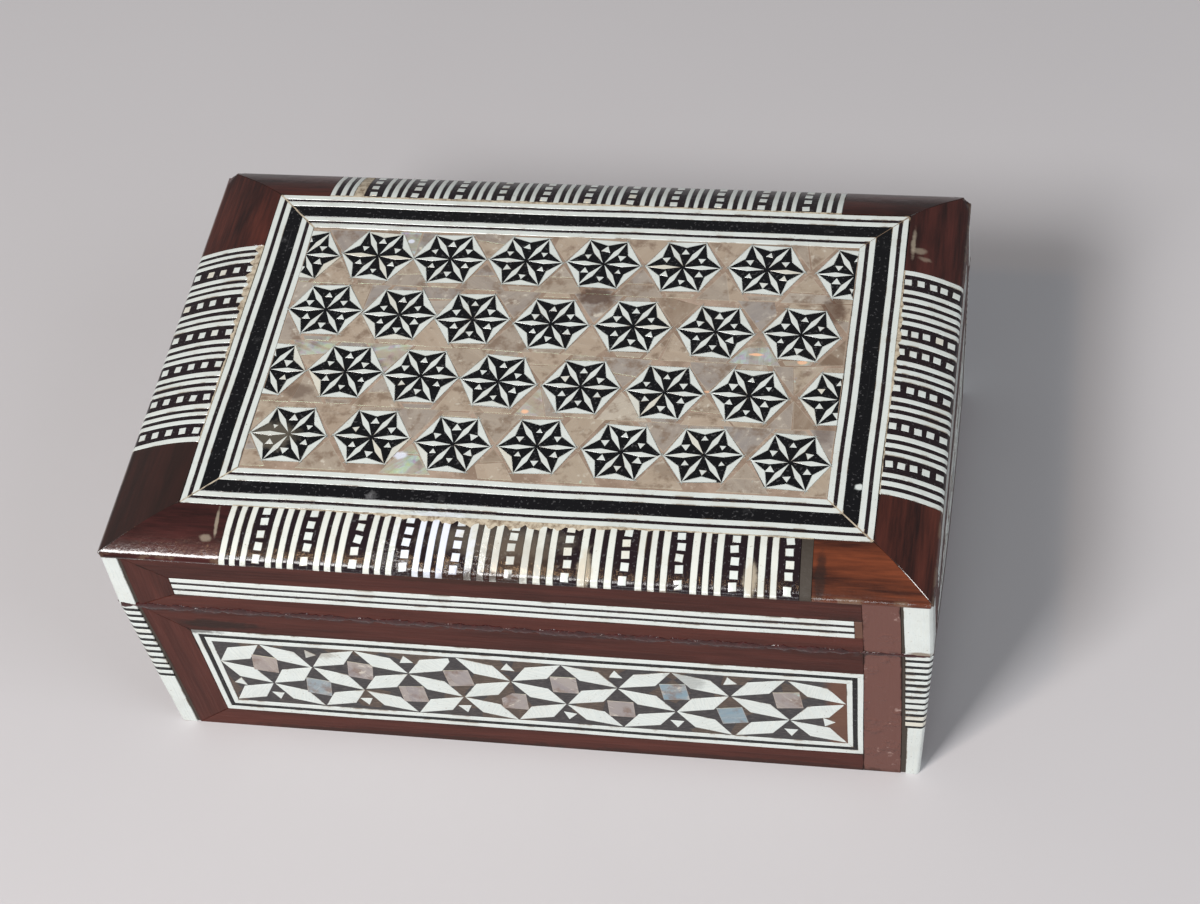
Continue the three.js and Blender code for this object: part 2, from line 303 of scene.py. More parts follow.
# The bead of lacquer in the seam: how full it is, how far it stands out of its groove, how deep
# the groove is, and how far from the corners it ends
BEAD_FULLNESS = {"front": 1.0, "others": 0.45}
BEAD_SWELL = 0.26
BEAD_GROOVE = 0.28
BEAD_END = 0.15

# The camera: its lens in millimetres, its place in metres and its turn in degrees
CAMERA_LENS = 77.147
CAMERA_PLACE = (0.08071, -0.25942, 0.33743)
CAMERA_TURN = (40.383, 6.068, 9.004)

# Square lights: name, place and size in metres, power in watts, and colour. All face one point.
LIGHTS = (
    ("Key light", (-0.30, -0.56, 0.66), 0.26, 7.4, (1.0, 0.98, 0.96)),
    ("Right fill", (0.50, -0.22, 0.42), 0.40, 1.1, (0.94, 0.97, 1.0)),
    ("Warm lamp", (-0.19, -0.33, 0.66), 0.045, 0.35, (1.0, 0.62, 0.32)),
    ("Low window", (-0.08, -0.90, 0.24), 0.12, 0.5, (0.94, 0.97, 1.0)),
)
LIT_POINT = (0.0, 0.0, 0.03)
ROOM_COLOUR = (0.86, 0.88, 0.9, 1)
ROOM_LIGHT = 0.26
FLOOR_REACH = 1.6


def neighbours(side):
    """The sides that meet this one at its low end and at its high end."""
    place = SIDES.index(side)
    return SIDES[place - 1], SIDES[(place + 1) % 4]


def turned(side, along, inward, height):
    """Points in a side's own frame turned into the box's: along the side, in from its face, up."""
    turn = math.radians(TURN[side])
    across = inward - REACH[side]
    x = along * math.cos(turn) - across * math.sin(turn)
    y = along * math.sin(turn) + across * math.cos(turn)
    return np.stack(np.broadcast_arrays(x, y, height), -1)


def side_face(side):
    """Places (along, height) on an upright side of the box."""
    return lambda u, v, lift, sink=0.0: turned(side, u, sink - lift, v)


def top_face(u, v, lift, sink=0.0):
    """Places (x, y) on the flat top of the lid."""
    return np.stack(np.broadcast_arrays(u, v, TOP + lift - sink), -1)


def frame_face(side):
    """Places (along, in from the frame's outer edge) on one side of the top frame."""

    def place(u, v, lift, sink=0.0):
        across = FRAME_HALF["right"] if side in ("front", "back") else FRAME_HALF["front"]
        points = turned(side, u, REACH[side] - across + v, TOP + lift - sink)
        points[..., X] += FRAME_SHIFT
        return points

    return place


def strip_width(corner, height):
    """Width of a corner's strip on either face, at a height."""
    return np.interp(height, STRIP_HEIGHTS, STRIP_WIDTHS.get(corner, (CORNER_STRIP,) * 5))


def strip_room(corner, height):
    """How far from a corner the veneer ends, at a height."""
    return np.interp(height, STRIP_HEIGHTS, STRIP_ROOMS.get(corner, (CORNER_STRIP + GROOVE,) * 5))


def fitted_face(side):
    """Places (along, height) on a side, with all past its inlaid panel stretched or squeezed to
    end where the corner strips begin."""
    half = PANEL_HALF[side]
    nominal = SPAN[side] - half - CORNER_STRIP - GROOVE
    before, after = CORNER_AFTER[neighbours(side)[0]], CORNER_AFTER[side]

    def place(u, v, lift, sink=0.0):
        corner_room = np.where(u < 0, strip_room(before, v), strip_room(after, v))
        past = np.maximum(np.abs(u) - half, 0) * (SPAN[side] - half - corner_room) / nominal
        return turned(side, np.sign(u) * (np.minimum(np.abs(u), half) + past), sink - lift, v)

    return place


def corner_face(side):
    """Places (along, height) round the corner past a side's high end: u is 0 on the corner's
    edge, negative on this side and positive on the next. The edge is rounded off."""
    rounding = CORNER_EASE * CORNER_CUTS[CORNER_AFTER[side]]

    def place(u, v, lift, sink=0.0):
        depth = sink - lift
        shrink = 1 - depth / CORNER_STRIP
        blunt = CORNER_EASE_DEPTH * rounding * np.clip(1 - np.abs(u) / rounding, 0, 1) ** 2
        along = np.maximum(-u, 0) * shrink + depth + blunt
        inward = np.maximum(u, 0) * shrink + depth + blunt
        return turned(side, SPAN[side] - along, inward, v)

    return place


def bevel_height(share):
    """Height of the bevel at a share of its width: 1 - (1 - share) ^ roundness of the rise."""
    share = np.clip(share, 0, 1)
    return BEVEL_EDGE + BEVEL_RISE * (1 - (1 - share) ** BEVEL_ROUNDNESS)


def crowded(v, width):
    """Distances in from the bevel's lower edge, moved closer together near that edge."""
    return v * (EDGE_CROWDING + (1 - EDGE_CROWDING) * v / width)


def bevel_face(side):
    """Places (along, in from the lid's edge) on the convex bevel, whose lowest part is rounded
    into a nose. Lift follows the surface's normal and sink goes straight down."""
    width = FRAME_EDGE[side]

    def place(u, v, lift, sink=0.0):
        share = np.clip(v / width, 0, 1)
        if side == "front":
            u = u + np.interp(u, SLANT_PLACES, SLANTS) * (1 - share)
        slope = BEVEL_RISE / width * BEVEL_ROUNDNESS * (1 - share) ** (BEVEL_ROUNDNESS - 1)
        length = np.sqrt(1 + slope**2)
        inward = np.maximum(v - lift * slope / length, 0)
        nose = NOSE_DEPTH * np.clip(1 - v / NOSE_WIDTH, 0, 1) ** 2 * (sink == 0)
        return turned(side, u, inward, bevel_height(share) + lift / length - sink - nose)

    return place


def eased(start, stop, inner, rim, fade):
    """Positions from start to stop: the edge, the top of its eased rim, the end of its worn
    border, evenly spread inner points, and the same three again at the far edge."""
    start, stop = np.asarray(start, float)[..., None], np.asarray(stop, float)[..., None]
    border = np.minimum([0, rim, fade], (stop - start) * [0, 0.2, 0.45])
    near, far = start + border, stop - border[..., ::-1]
    shares = np.linspace(0, 1, inner + 2)[1:-1]
    middle = near[..., -1:] + (far[..., :1] - near[..., -1:]) * shares
    return np.concatenate([near, middle, far], -1)


def border(count, reach):
    """1 at the first and last few places of a row, and 0 between them."""
    place = np.arange(count)
    return (np.minimum(place, place[::-1]) < reach).astype(float)


def box_faces(count, rows, columns):
    """Quads of plates that each hold a top grid and then a bottom grid of rows by columns points:
    both grids and the four walls between their borders."""
    grid = np.arange(rows * columns).reshape(rows, columns)
    below = rows * columns
    top = np.stack([grid[:-1, :-1], grid[:-1, 1:], grid[1:, 1:], grid[1:, :-1]], -1)
    under = (top + below)[..., ::-1]

    def wall(line):
        return np.stack([line[:-1] + below, line[1:] + below, line[1:], line[:-1]], -1)

    walls = [wall(grid[0]), wall(grid[:, -1]), wall(grid[-1, ::-1]), wall(grid[::-1, 0])]
    faces = np.concatenate([top.reshape(-1, 4), under.reshape(-1, 4), *walls])
    return (faces + np.arange(count)[:, None, None] * 2 * below).reshape(-1, 4)


def part_of(points, faces, wear, grain, tone, gloss, paint):
    """Plates ready to be joined into a piece: points (plates, points, 3), faces, wear and grain
    for each point, and tone, gloss and paint for each plate."""
    count, size = points.shape[:2]

    def spread(values):
        return np.repeat(np.broadcast_to(np.asarray(values, float), count), size)

    return {
        "points": points.reshape(-1, 3),
        "faces": faces,
        "rim": np.broadcast_to(wear, (count, size)).ravel(),
        "grain": grain.reshape(-1, 2),
        "tone": spread(tone),
        "gloss": spread(gloss),
        "paint": spread(paint),
    }


def strips(place, u_ends, v_ends, inner=(0, 0), rim=0.05, fade=(0.25, 0.25), sink=0.6, sway=0.0,
           crosswise=False, seed=0, tone=None, lift=0.0, gloss=0.0, paint=0.0):
    """Plates with eased edges, each the grid of u from end to end by v from end to end. An end of
    u may be a function of v, for a mitre. Sway bends the strips by two slow sines of u. The grain
    runs along u, or along v where it is crosswise."""
    random = np.random.default_rng(seed)
    v_start, v_stop = np.broadcast_arrays(*np.atleast_1d(*v_ends))
    v = eased(v_start, v_stop, inner[1], rim, fade[1])
    ends = [end(v) if callable(end) else np.reshape(end, (-1, 1)) + 0 * v for end in u_ends]
    u = eased(*ends, inner[0], rim, fade[0])
    v = np.broadcast_to(v[..., None], u.shape)
    phases = random.uniform(0, 6.28, 2)
    v = v + sway * (np.sin(u / 9 + phases[0]) + 0.6 * np.sin(u / 3.7 + phases[1]))
    count, rows, columns = u.shape
    edge = np.maximum(border(rows, 1)[:, None], border(columns, 1))
    worn = np.maximum(border(rows, 2)[:, None], border(columns, 2))
    lifts = np.reshape(lift, (-1, 1, 1)) - rim * edge + 0 * u
    both = np.stack([place(u, v, lifts), place(u, v, lifts, sink)], 1)
    shift = random.uniform(-50, 50, (2, count, 1, 1))
    pair = (v + shift[0], u + shift[1]) if crosswise else (u + shift[0], v + shift[1])
    grain = np.stack(pair, -1).reshape(count, 1, -1, 2)
    tones = random.random(count) if tone is None else tone
    return part_of(
        both.reshape(count, -1, 3), [box_faces(count, rows, columns)], np.tile(worn.ravel(), 2),
        np.concatenate([grain, grain], 1), tones, gloss, paint,
    )


def inset(outlines, distance):
    """Convex outlines (plates, corners, 2), counterclockwise, with each edge moved in by the
    distance: a corner moves along the sum of its two inward normals over one plus their dot."""
    step = np.roll(outlines, -1, 1) - outlines
    step = step / np.linalg.norm(step, axis=-1, keepdims=True)
    after = np.stack([-step[..., 1], step[..., 0]], -1)
    before = np.roll(after, 1, 1)
    both = (before + after) / (1 + (before * after).sum(-1, keepdims=True))
    return outlines + both * distance


def tiles(place, outlines, rim=0.05, fade=0.2, sink=0.3, lift=0.0, uneven=0.0, seed=0, turn=None,
          tone=None, gloss=0.0, paint=0.0):
    """Flat tiles with eased edges from convex outlines (tiles, corners, 2), counterclockwise. Each
    has a bottom ring, a ring below its eased edge, a rim ring and the ring where wear ends, and
    may stand uneven by a small lift and a small tilt. Turn is the direction of its grain."""
    outlines = np.asarray(outlines, float)
    random = np.random.default_rng(seed)
    count, corners = outlines.shape[:2]
    middle = outlines.mean(1, keepdims=True)
    along = np.roll(outlines, -1, 1) - outlines
    along = along / np.linalg.norm(along, axis=-1, keepdims=True)
    toward = middle - outlines
    reach = np.abs(along[..., 0] * toward[..., 1] - along[..., 1] * toward[..., 0]).min(1)
    reach = reach[:, None, None]
    eased_rim = np.minimum(rim, 0.3 * reach)
    worn = inset(outlines, np.minimum(fade, 0.75 * reach))
    rings = np.stack([outlines, outlines, inset(outlines, eased_rim), worn], 1)
    tilt = random.normal(0, uneven, (count, 1, 1, 3))
    offset = rings - middle[:, None]
    lifts = (tilt[..., :2] * offset).sum(-1) + 0.6 * tilt[..., 2]
    lifts = lifts + np.reshape(lift, (-1, 1, 1))
    lifts[:, :2] -= eased_rim
    sinks = np.zeros(lifts.shape)
    sinks[:, 0] = sink
    points = place(rings[..., 0], rings[..., 1], lifts, sinks)
    index = np.arange(4 * corners).reshape(4, corners)
    ahead = np.roll(index, -1, 1)
    walls = np.stack([index[:-1], ahead[:-1], ahead[1:], index[1:]], -1).reshape(-1, 4)
    starts = np.arange(count)[:, None, None] * 4 * corners
    faces = [
        (walls + starts).reshape(-1, 4),
        index[3] + starts[:, 0],
        index[0, ::-1] + starts[:, 0],
    ]
    turns = random.uniform(0, 3.14, count) if turn is None else np.broadcast_to(turn, count)
    angle = turns[:, None, None]
    shift = random.uniform(-50, 50, (2, count, 1, 1))
    along = rings[..., 0] * np.cos(angle) + rings[..., 1] * np.sin(angle) + shift[0]
    across = rings[..., 1] * np.cos(angle) - rings[..., 0] * np.sin(angle) + shift[1]
    tones = random.random(count) if tone is None else tone
    return part_of(
        points.reshape(count, -1, 3), faces, np.repeat([1, 1, 1, 0], corners),
        np.stack([along, across], -1), tones, gloss, paint,
    )


def ring_shell(rings):
    """A closed shell of stacked outlines (rings, corners, 3): quads between neighbours, and a cap
    on the first and the last."""
    rings = np.asarray(rings, float)
    count, corners = rings.shape[:2]
    index = np.arange(count * corners).reshape(count, corners)
    ahead = np.roll(index, -1, 1)
    quads = np.stack([index[:-1], ahead[:-1], ahead[1:], index[1:]], -1).reshape(-1, 4)
    points = rings.reshape(1, -1, 3)
    faces = [quads, index[0][None, ::-1], index[-1][None, :]]
    return part_of(points, faces, 0.0, points[..., :2] + points[..., 2:], 0.5, 0.0, 0.0)


def leaning(points):
    """Points of the base drawn in along x towards its foot. The shift is a length for each end
    times three shares: how far below the rim, how near to the end, and how near to the front."""
    below = np.clip(1 - points[:, Z] / BASE_RIM, 0, 1)
    start = np.where(points[:, X] < 0, *LEAN_STARTS)
    share = np.clip((np.abs(points[:, X]) - start) / (HALF_LENGTH - start), 0, 1)
    front = LEAN_AT_BACK + (1 - LEAN_AT_BACK) * np.exp(-(((points[:, Y] + HALF_DEPTH) / LEAN_DEPTH) ** 2))
    shift = np.where(points[:, X] < 0, *LEANS) * below * share * front
    shifted = points[:, X] - np.sign(points[:, X]) * shift
    return np.stack([shifted, points[:, Y], points[:, Z]], 1)


def blunted(points):
    """Points of the bevel with its two back corners cut off: whatever lies past the line
    |x| + y = limit goes back to that line at a right angle."""
    excess = np.abs(points[:, X]) + points[:, Y] - HALF_LENGTH - HALF_DEPTH + BACK_BLUNT
    back = np.clip(excess, 0, None) / 2 * (points[:, Z] > BEVEL_EDGE - 0.1) * (points[:, Y] > 0)
    return np.stack([points[:, X] - np.sign(points[:, X]) * back, points[:, Y] - back,
                     points[:, Z]], 1)


def make_piece(name, parts, finish, stands_for=()):
    """Joins plates into one mesh object that rides on the box, with its grain directions as a UV
    map and its tone, rim, gloss and paint as point attributes."""
    sizes = [len(part["points"]) for part in parts]
    starts = np.cumsum([0] + sizes[:-1])
    faces = [face + start for part, start in zip(parts, starts) for face in part["faces"]]
    corners = np.concatenate([face.ravel() for face in faces])
    totals = np.concatenate([np.full(len(face), face.shape[1]) for face in faces])
    mesh = bpy.data.meshes.new(name)
    points = blunted(leaning(np.concatenate([part["points"] for part in parts]))) * MM
    mesh.vertices.add(len(points))
    mesh.vertices.foreach_set("co", points.astype(np.float32).ravel())
    mesh.loops.add(len(corners))
    mesh.loops.foreach_set("vertex_index", corners.astype(np.int32))
    mesh.polygons.add(len(totals))
    mesh.polygons.foreach_set("loop_start", (np.cumsum(totals) - totals).astype(np.int32))
    mesh.update(calc_edges=True)
    for key in ("tone", "rim", "gloss", "paint"):
        values = np.concatenate([part[key] for part in parts]).astype(np.float32)
        mesh.attributes.new(key, "FLOAT", "POINT").data.foreach_set("value", values)
    grain = np.concatenate([part["grain"] for part in parts])[corners]
    layer = mesh.uv_layers.new(name="Grain")
    layer.data.foreach_set("uv", (grain * MM).astype(np.float32).ravel())
    mesh.shade_smooth()
    mesh.set_sharp_from_angle(angle=math.radians(25))
    mesh.materials.append(finish_of(finish))
    piece = bpy.data.objects.new(name, mesh)
    bpy.context.scene.collection.objects.link(piece)
    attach(piece, ROOT)
    if stands_for:
        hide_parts(*stands_for)
    return piece


def linear(red, green, blue):
    """A colour given in display values from 0 to 255, as linear values."""
    value = np.array([red, green, blue]) / 255
    curved = np.where(value > 0.04045, ((value + 0.055) / 1.055) ** 2.4, value / 12.92)
    return tuple(float(channel) for channel in curved)


def add(tree, kind, inputs=None, **settings):
    """Adds a node to a tree. Inputs are sockets to link from, or plain values."""
    made = tree.nodes.new("ShaderNode" + kind)
    for key, value in settings.items():
        setattr(made, key, value)
    for key, value in (inputs or {}).items():
        if isinstance(value, bpy.types.NodeSocket):
            tree.links.new(value, made.inputs[key])
        else:
            made.inputs[key].default_value = value
    return made


def sum_of(tree, operation, first, second, third=0.0, clamp=False):
    """One math node's output."""
    inputs = {0: first, 1: second, 2: third}
    return add(tree, "Math", inputs, operation=operation, use_clamp=clamp).outputs[0]


def times(tree, first, second):
    """The product of two values."""
    return sum_of(tree, "MULTIPLY", first, second)


def times_plus(tree, first, second, third, clamp=False):
    """The product of two values plus a third."""
    return sum_of(tree, "MULTIPLY_ADD", first, second, third, clamp)


def blend_of(tree, mask, first, second):
    """The first colour where the mask is 0 and the second where it is 1."""
    inputs = {0: mask, 6: first, 7: second}
    return add(tree, "Mix", inputs, data_type="RGBA").outputs[2]


def laid_over(tree, colour, mask, strength, top):
    """A colour with a second one laid over it where the mask is 1, as thick as its strength."""
    return blend_of(tree, times(tree, mask, strength), colour, top)


def place_in(tree):
    """The place of each point of the surface, in the box's own axes."""
    return add(tree, "TexCoord").outputs["Object"]


def ranged(tree, value, low_value, high_value, low_result=0.0, high_result=1.0):
    """A value mapped smoothly from one range to another."""
    inputs = {0: value, 1: low_value, 2: high_value, 3: low_result, 4: high_result}
    return add(tree, "MapRange", inputs, interpolation_type="SMOOTHSTEP").outputs[0]


def noise(tree, vector, scale, detail=3.0, roughness=0.55):
    """A noise texture's value."""
    inputs = {"Vector": vector, "Scale": scale, "Detail": detail, "Roughness": roughness}
    return add(tree, "TexNoise", inputs).outputs[0]


def new_group(name, inputs, outputs):
    """An empty shader node group whose inputs are values or vectors, like their defaults. Returns
    it with its two ends."""
    group = bpy.data.node_groups.new(name, "ShaderNodeTree")
    for title, default in inputs.items():
        kind = "NodeSocketVector" if isinstance(default, tuple) else "NodeSocketFloat"
        socket = group.interface.new_socket(title, in_out="INPUT", socket_type=kind)
        socket.default_value = default
    for title in outputs:
        group.interface.new_socket(title, in_out="OUTPUT", socket_type="NodeSocketFloat")
    return group, group.nodes.new("NodeGroupInput"), group.nodes.new("NodeGroupOutput")


def grain_group():
    """Streaks along the grain: noise on the grain map, squeezed along it."""
    defaults = {"Stretch": 12.0, "Fineness": 1200.0}
    group, start, end = new_group("Grain streaks", defaults, ["Streak", "Fine"])
    uv = add(group, "UVMap", uv_map="Grain").outputs[0]
    squeeze = sum_of(group, "DIVIDE", 1.0, start.outputs["Stretch"])
    scale = add(group, "CombineXYZ", {0: squeeze, 1: 1.0, 2: 1.0}).outputs[0]
    stretched = add(group, "VectorMath", {0: uv, 1: scale}, operation="MULTIPLY").outputs[0]
    broad = noise(group, stretched, times(group, start.outputs["Fineness"], 0.4))
    fine = noise(group, stretched, start.outputs["Fineness"], 4.0, 0.7)
    group.links.new(ranged(group, broad, 0.35, 0.68), end.inputs["Streak"])
    group.links.new(ranged(group, fine, 0.3, 0.75), end.inputs["Fine"])
    return group


def dirt_group():
    """Dirt along the joints: the rim attribute broken up by noise."""
    group, start, end = new_group("Joint dirt", {"Reach": 0.6}, ["Mask"])
    rim = add(group, "Attribute", attribute_name="rim").outputs["Fac"]
    place = place_in(group)
    patches = noise(group, place, 260.0, 4.0, 0.65)
    level = times(group, rim, ranged(group, patches, 0.3, 0.75))
    edge = sum_of(group, "SUBTRACT", 1.0, start.outputs["Reach"])
    mask = ranged(group, level, edge, sum_of(group, "ADD", edge, 0.45))
    group.links.new(mask, end.inputs["Mask"])
    return group


def speckle_group():
    """Small specks: where fine noise rises above a level."""
    group, start, end = new_group("Specks", {"Fineness": 2500.0, "Level": 0.68}, ["Mask"])
    place = place_in(group)
    value = noise(group, place, start.outputs["Fineness"], 2.0, 0.5)
    top = sum_of(group, "ADD", start.outputs["Level"], 0.06)
    group.links.new(ranged(group, value, start.outputs["Level"], top), end.inputs["Mask"])
    return group


def spot_group():
    """A soft-edged spot round a place on the box, its edge broken by noise: the mask for stains, painted
    glints and the varnish pool.
    """
    defaults = {"Centre": (0, 0, 0), "Size": (1, 1, 1)}
    group, start, end = new_group("Stain", defaults, ["Mask"])
    place = place_in(group)
    away = add(group, "VectorMath", {0: place, 1: start.outputs["Centre"]},
               operation="SUBTRACT").outputs[0]
    scaled = add(group, "VectorMath", {0: away, 1: start.outputs["Size"]},
                 operation="DIVIDE").outputs[0]
    distance = add(group, "VectorMath", {0: scaled}, operation="LENGTH").outputs["Value"]
    rough = times_plus(group, noise(group, place, 700.0, 4.0, 0.6), 1.2, distance)
    group.links.new(ranged(group, rough, 1.15, 1.75, 1.0, 0.0), end.inputs["Mask"])
    return group


GROUPS = {}


def effect(tree, name, output=0, **values):
    """Places a shared effect in a material and returns one of its outputs."""
    if name not in GROUPS:
        GROUPS[name] = {"grain": grain_group, "dirt": dirt_group, "specks": speckle_group,
                        "stain": spot_group}[name]()
    made = add(tree, "Group", node_tree=GROUPS[name])
    for key, value in values.items():
        made.inputs[key.capitalize()].default_value = value
    return made.outputs[output]


def mark(tree, name):
    """A point attribute's value."""
    return add(tree, "Attribute", attribute_name=name).outputs["Fac"]


def new_material(name, **constants):
    """A material with constants set straight on its Principled shader. Returns it with its node
    tree and the place of each point of the surface."""
    material = bpy.data.materials.new(name)
    material.use_nodes = True
    tree = material.node_tree
    for key, value in constants.items():
        tree.nodes["Principled BSDF"].inputs[key.replace("_", " ")].default_value = value
    return material, tree, place_in(tree)


def dressed(material, colour, roughness, height, bump, **more):
    """Feeds a material's Principled shader its colour, roughness and bump, and returns it."""
    tree = material.node_tree
    normal = add(tree, "Bump", {"Height": height, "Strength": 1.0, "Distance": bump}).outputs[0]
    feeds = {"Base Color": colour, "Roughness": roughness, "Normal": normal, **more}
    for name, socket in feeds.items():
        tree.links.new(socket, tree.nodes["Principled BSDF"].inputs[name])
    return material


def polished(tree, roughness, smooth=0.09):
    """A roughness brought down to a smooth one where the gloss attribute is 1."""
    fall = sum_of(tree, "SUBTRACT", smooth, roughness)
    return times_plus(tree, fall, mark(tree, "gloss"), roughness)


def spot(tree, centre, size):
    """A mask that is 1 round a place on the box, given in millimetres, with a broken edge."""
    return effect(tree, "stain", 0, centre=[value * MM for value in centre],
                  size=[value * MM for value in size])


def dirtied(tree, colour, reach, strength, dirt_colour):
    """A colour with dirt along the joints, which spreads further as reach grows."""
    mask = effect(tree, "dirt", 0, reach=reach)
    return laid_over(tree, colour, mask, strength, dirt_colour)


def varnish_lumps(tree, place):
    """Heights of the lumpy varnish: fine ripples where the gloss attribute is high, and thick
    smooth lumps in one place on the front band."""
    ripples = times(tree, noise(tree, place, 620.0, 3.0, 0.6), mark(tree, "gloss"))
    pool = spot(tree, VARNISH_POOL, (8.5, 7.0, 7.0))
    waves = times(tree, noise(tree, place, 330.0, 1.0, 0.4), pool)
    return times_plus(tree, waves, 5.0, ripples)


def with_stains_and_glints(tree, colour, stains, colours):
    """A colour with marks laid over it one after another: real stains, and in some tables painted glints
    and glare.
    """
    for centre, size, name, strength in stains:
        colour = laid_over(tree, colour, spot(tree, centre, size), strength, getattr(colours, name))
    return colour


def wood_grain(tree, broad, fine, share):
    """Broad and fine streaks mixed, the fine ones by their share, and the fine ones alone. Broad
    and fine each give how far the streaks stretch and how fine they are."""
    streaks = effect(tree, "grain", 0, stretch=broad[0], fineness=broad[1])
    fine = effect(tree, "grain", 1, stretch=fine[0], fineness=fine[1])
    return times_plus(tree, fine, share, times(tree, streaks, 1 - share)), fine


def side_wood(colours):
    """Red-brown veneer with fine grain, satin lacquer, darker dirt at its joints, dark lacquer smears
    near the seam, and a flat painted finish where the paint attribute is 1, with painted pale glints
    streaked over it."""
    material, tree, place = new_material("Side wood", Coat_Roughness=0.2, Specular_IOR_Level=0.14)
    grain, fine = wood_grain(tree, (14.0, 900.0), (22.0, 2600.0), 0.45)
    tone = times_plus(tree, mark(tree, "tone"), 0.35, times(tree, grain, 0.65))
    wood = blend_of(tree, tone, colours.side_wood_dark, colours.side_wood_light)
    paint = mark(tree, "paint")
    # Painted highlights: pale glints streaked over the wrinkled paint
    smears = ranged(tree, noise(tree, place, 330.0, 5.0, 0.7), 0.62, 0.72)
    painted = blend_of(tree, smears, colours.paint, colours.paint_glint)
    colour = blend_of(tree, paint, wood, painted)
    colour = dirtied(tree, colour, 0.72, 0.75, colours.grime)
    height = add(tree, "SeparateXYZ", {0: place}).outputs[2]
    away = sum_of(tree, "ABSOLUTE", sum_of(tree, "SUBTRACT", height, BASE_RIM * MM), 0.0)
    near = ranged(tree, away, 0.0002, 0.0012, 1.0, 0.0)
    drips = ranged(tree, noise(tree, place, 420.0, 3.0, 0.6), 0.45, 0.6)
    seam = times(tree, near, drips)
    colour = blend_of(tree, seam, colour, colours.lacquer)
    colour = with_stains_and_glints(tree, colour, WOOD_STAINS, colours)
    roughness = times_plus(tree, fine, -0.12, 0.5)
    wrinkles = ranged(tree, noise(tree, place, 380.0, 3.0, 0.6), 0.5, 0.75)
    bumps = times_plus(tree, times(tree, wrinkles, paint), 6.0, grain)
    bumps = times_plus(tree, seam, 2.0, bumps)
    coat = sum_of(tree, "ADD", times(tree, seam, 0.6), 0.05)
    return dressed(material, colour, roughness, bumps, 0.00003, **{"Coat Weight": coat})


def bevel_wood(colours):
    """Dark wood under a thick gloss, each piece of its own tone, with strong dark streaks."""
    material, tree, place = new_material("Bevel wood")
    grain, _ = wood_grain(tree, (9.0, 800.0), (16.0, 2200.0), 0.4)
    light = blend_of(tree, mark(tree, "tone"), colours.bevel_wood, colours.bevel_wood_light)
    colour = blend_of(tree, grain, colours.bevel_wood_dark, light)
    dirt = effect(tree, "dirt", 0, reach=0.6)
    dark = times_plus(tree, dirt, 0.5, times(tree, mark(tree, "paint"), 0.7))
    colour = blend_of(tree, dark, colour, colours.grime)
    height = add(tree, "SeparateXYZ", {0: place}).outputs[2]
    edge = ranged(tree, height, (BEVEL_EDGE + 0.02) * MM, (BEVEL_EDGE + 0.3) * MM, 1.0, 0.0)
    patches = ranged(tree, noise(tree, place, 300.0, 3.0, 0.6), 0.46, 0.6, 0.0, 0.5)
    colour = blend_of(tree, times(tree, edge, patches), colour, colours.putty_dark)
    colour = with_stains_and_glints(tree, colour, BEVEL_STAINS, colours)
    ripples = noise(tree, place, 450.0, 4.0, 0.6)
    roughness = polished(tree, times_plus(tree, grain, -0.15, 0.5), 0.16)
    return dressed(material, colour, roughness, ripples, 0.00006)


def bone(colours):
    """Cut bone: bluish white, a few tiles creamier, fine pits and streaks, brown at its joints, and
    discoloured where putty or varnish has run over it, with a painted bluish-white reflection where the
    varnish lies thick."""
    material, tree, place = new_material("Bone")
    cream = times(tree, ranged(tree, mark(tree, "tone"), 0.9, 1.0), 0.6)
    colour = blend_of(tree, cream, colours.bone, colours.bone_cream)
    clouds = ranged(tree, noise(tree, place, 260.0, 4.0, 0.6), 0.35, 0.75, 0.0, 0.35)
    colour = blend_of(tree, clouds, colour, colours.bone_shade)
    streak = effect(tree, "grain", 1, stretch=10.0, fineness=2400.0)
    colour = laid_over(tree, colour, streak, 0.16, colours.bone_cream)
    pits = effect(tree, "specks", 0, fineness=3000.0, level=0.68)
    colour = laid_over(tree, colour, pits, 0.6, colours.putty_dark)
    colour = dirtied(tree, colour, 0.62, 0.75, colours.putty_dark)
    colour = with_stains_and_glints(tree, colour, INLAY_STAINS, colours)
    # Painted bluish-white reflection on the bone where the varnish pool lies thick
    colour = with_stains_and_glints(tree, colour, ((VARNISH_POOL, (6.5, 6.0, 6.0), "painted_glare", 0.8),), colours)
    roughness = polished(tree, times_plus(tree, streak, 0.15, 0.36))
    bumps = times_plus(tree, pits, -0.3, times(tree, streak, 0.1))
    bumps = times_plus(tree, varnish_lumps(tree, place), 4.0, bumps)
    return dressed(material, colour, roughness, bumps, 0.000015)


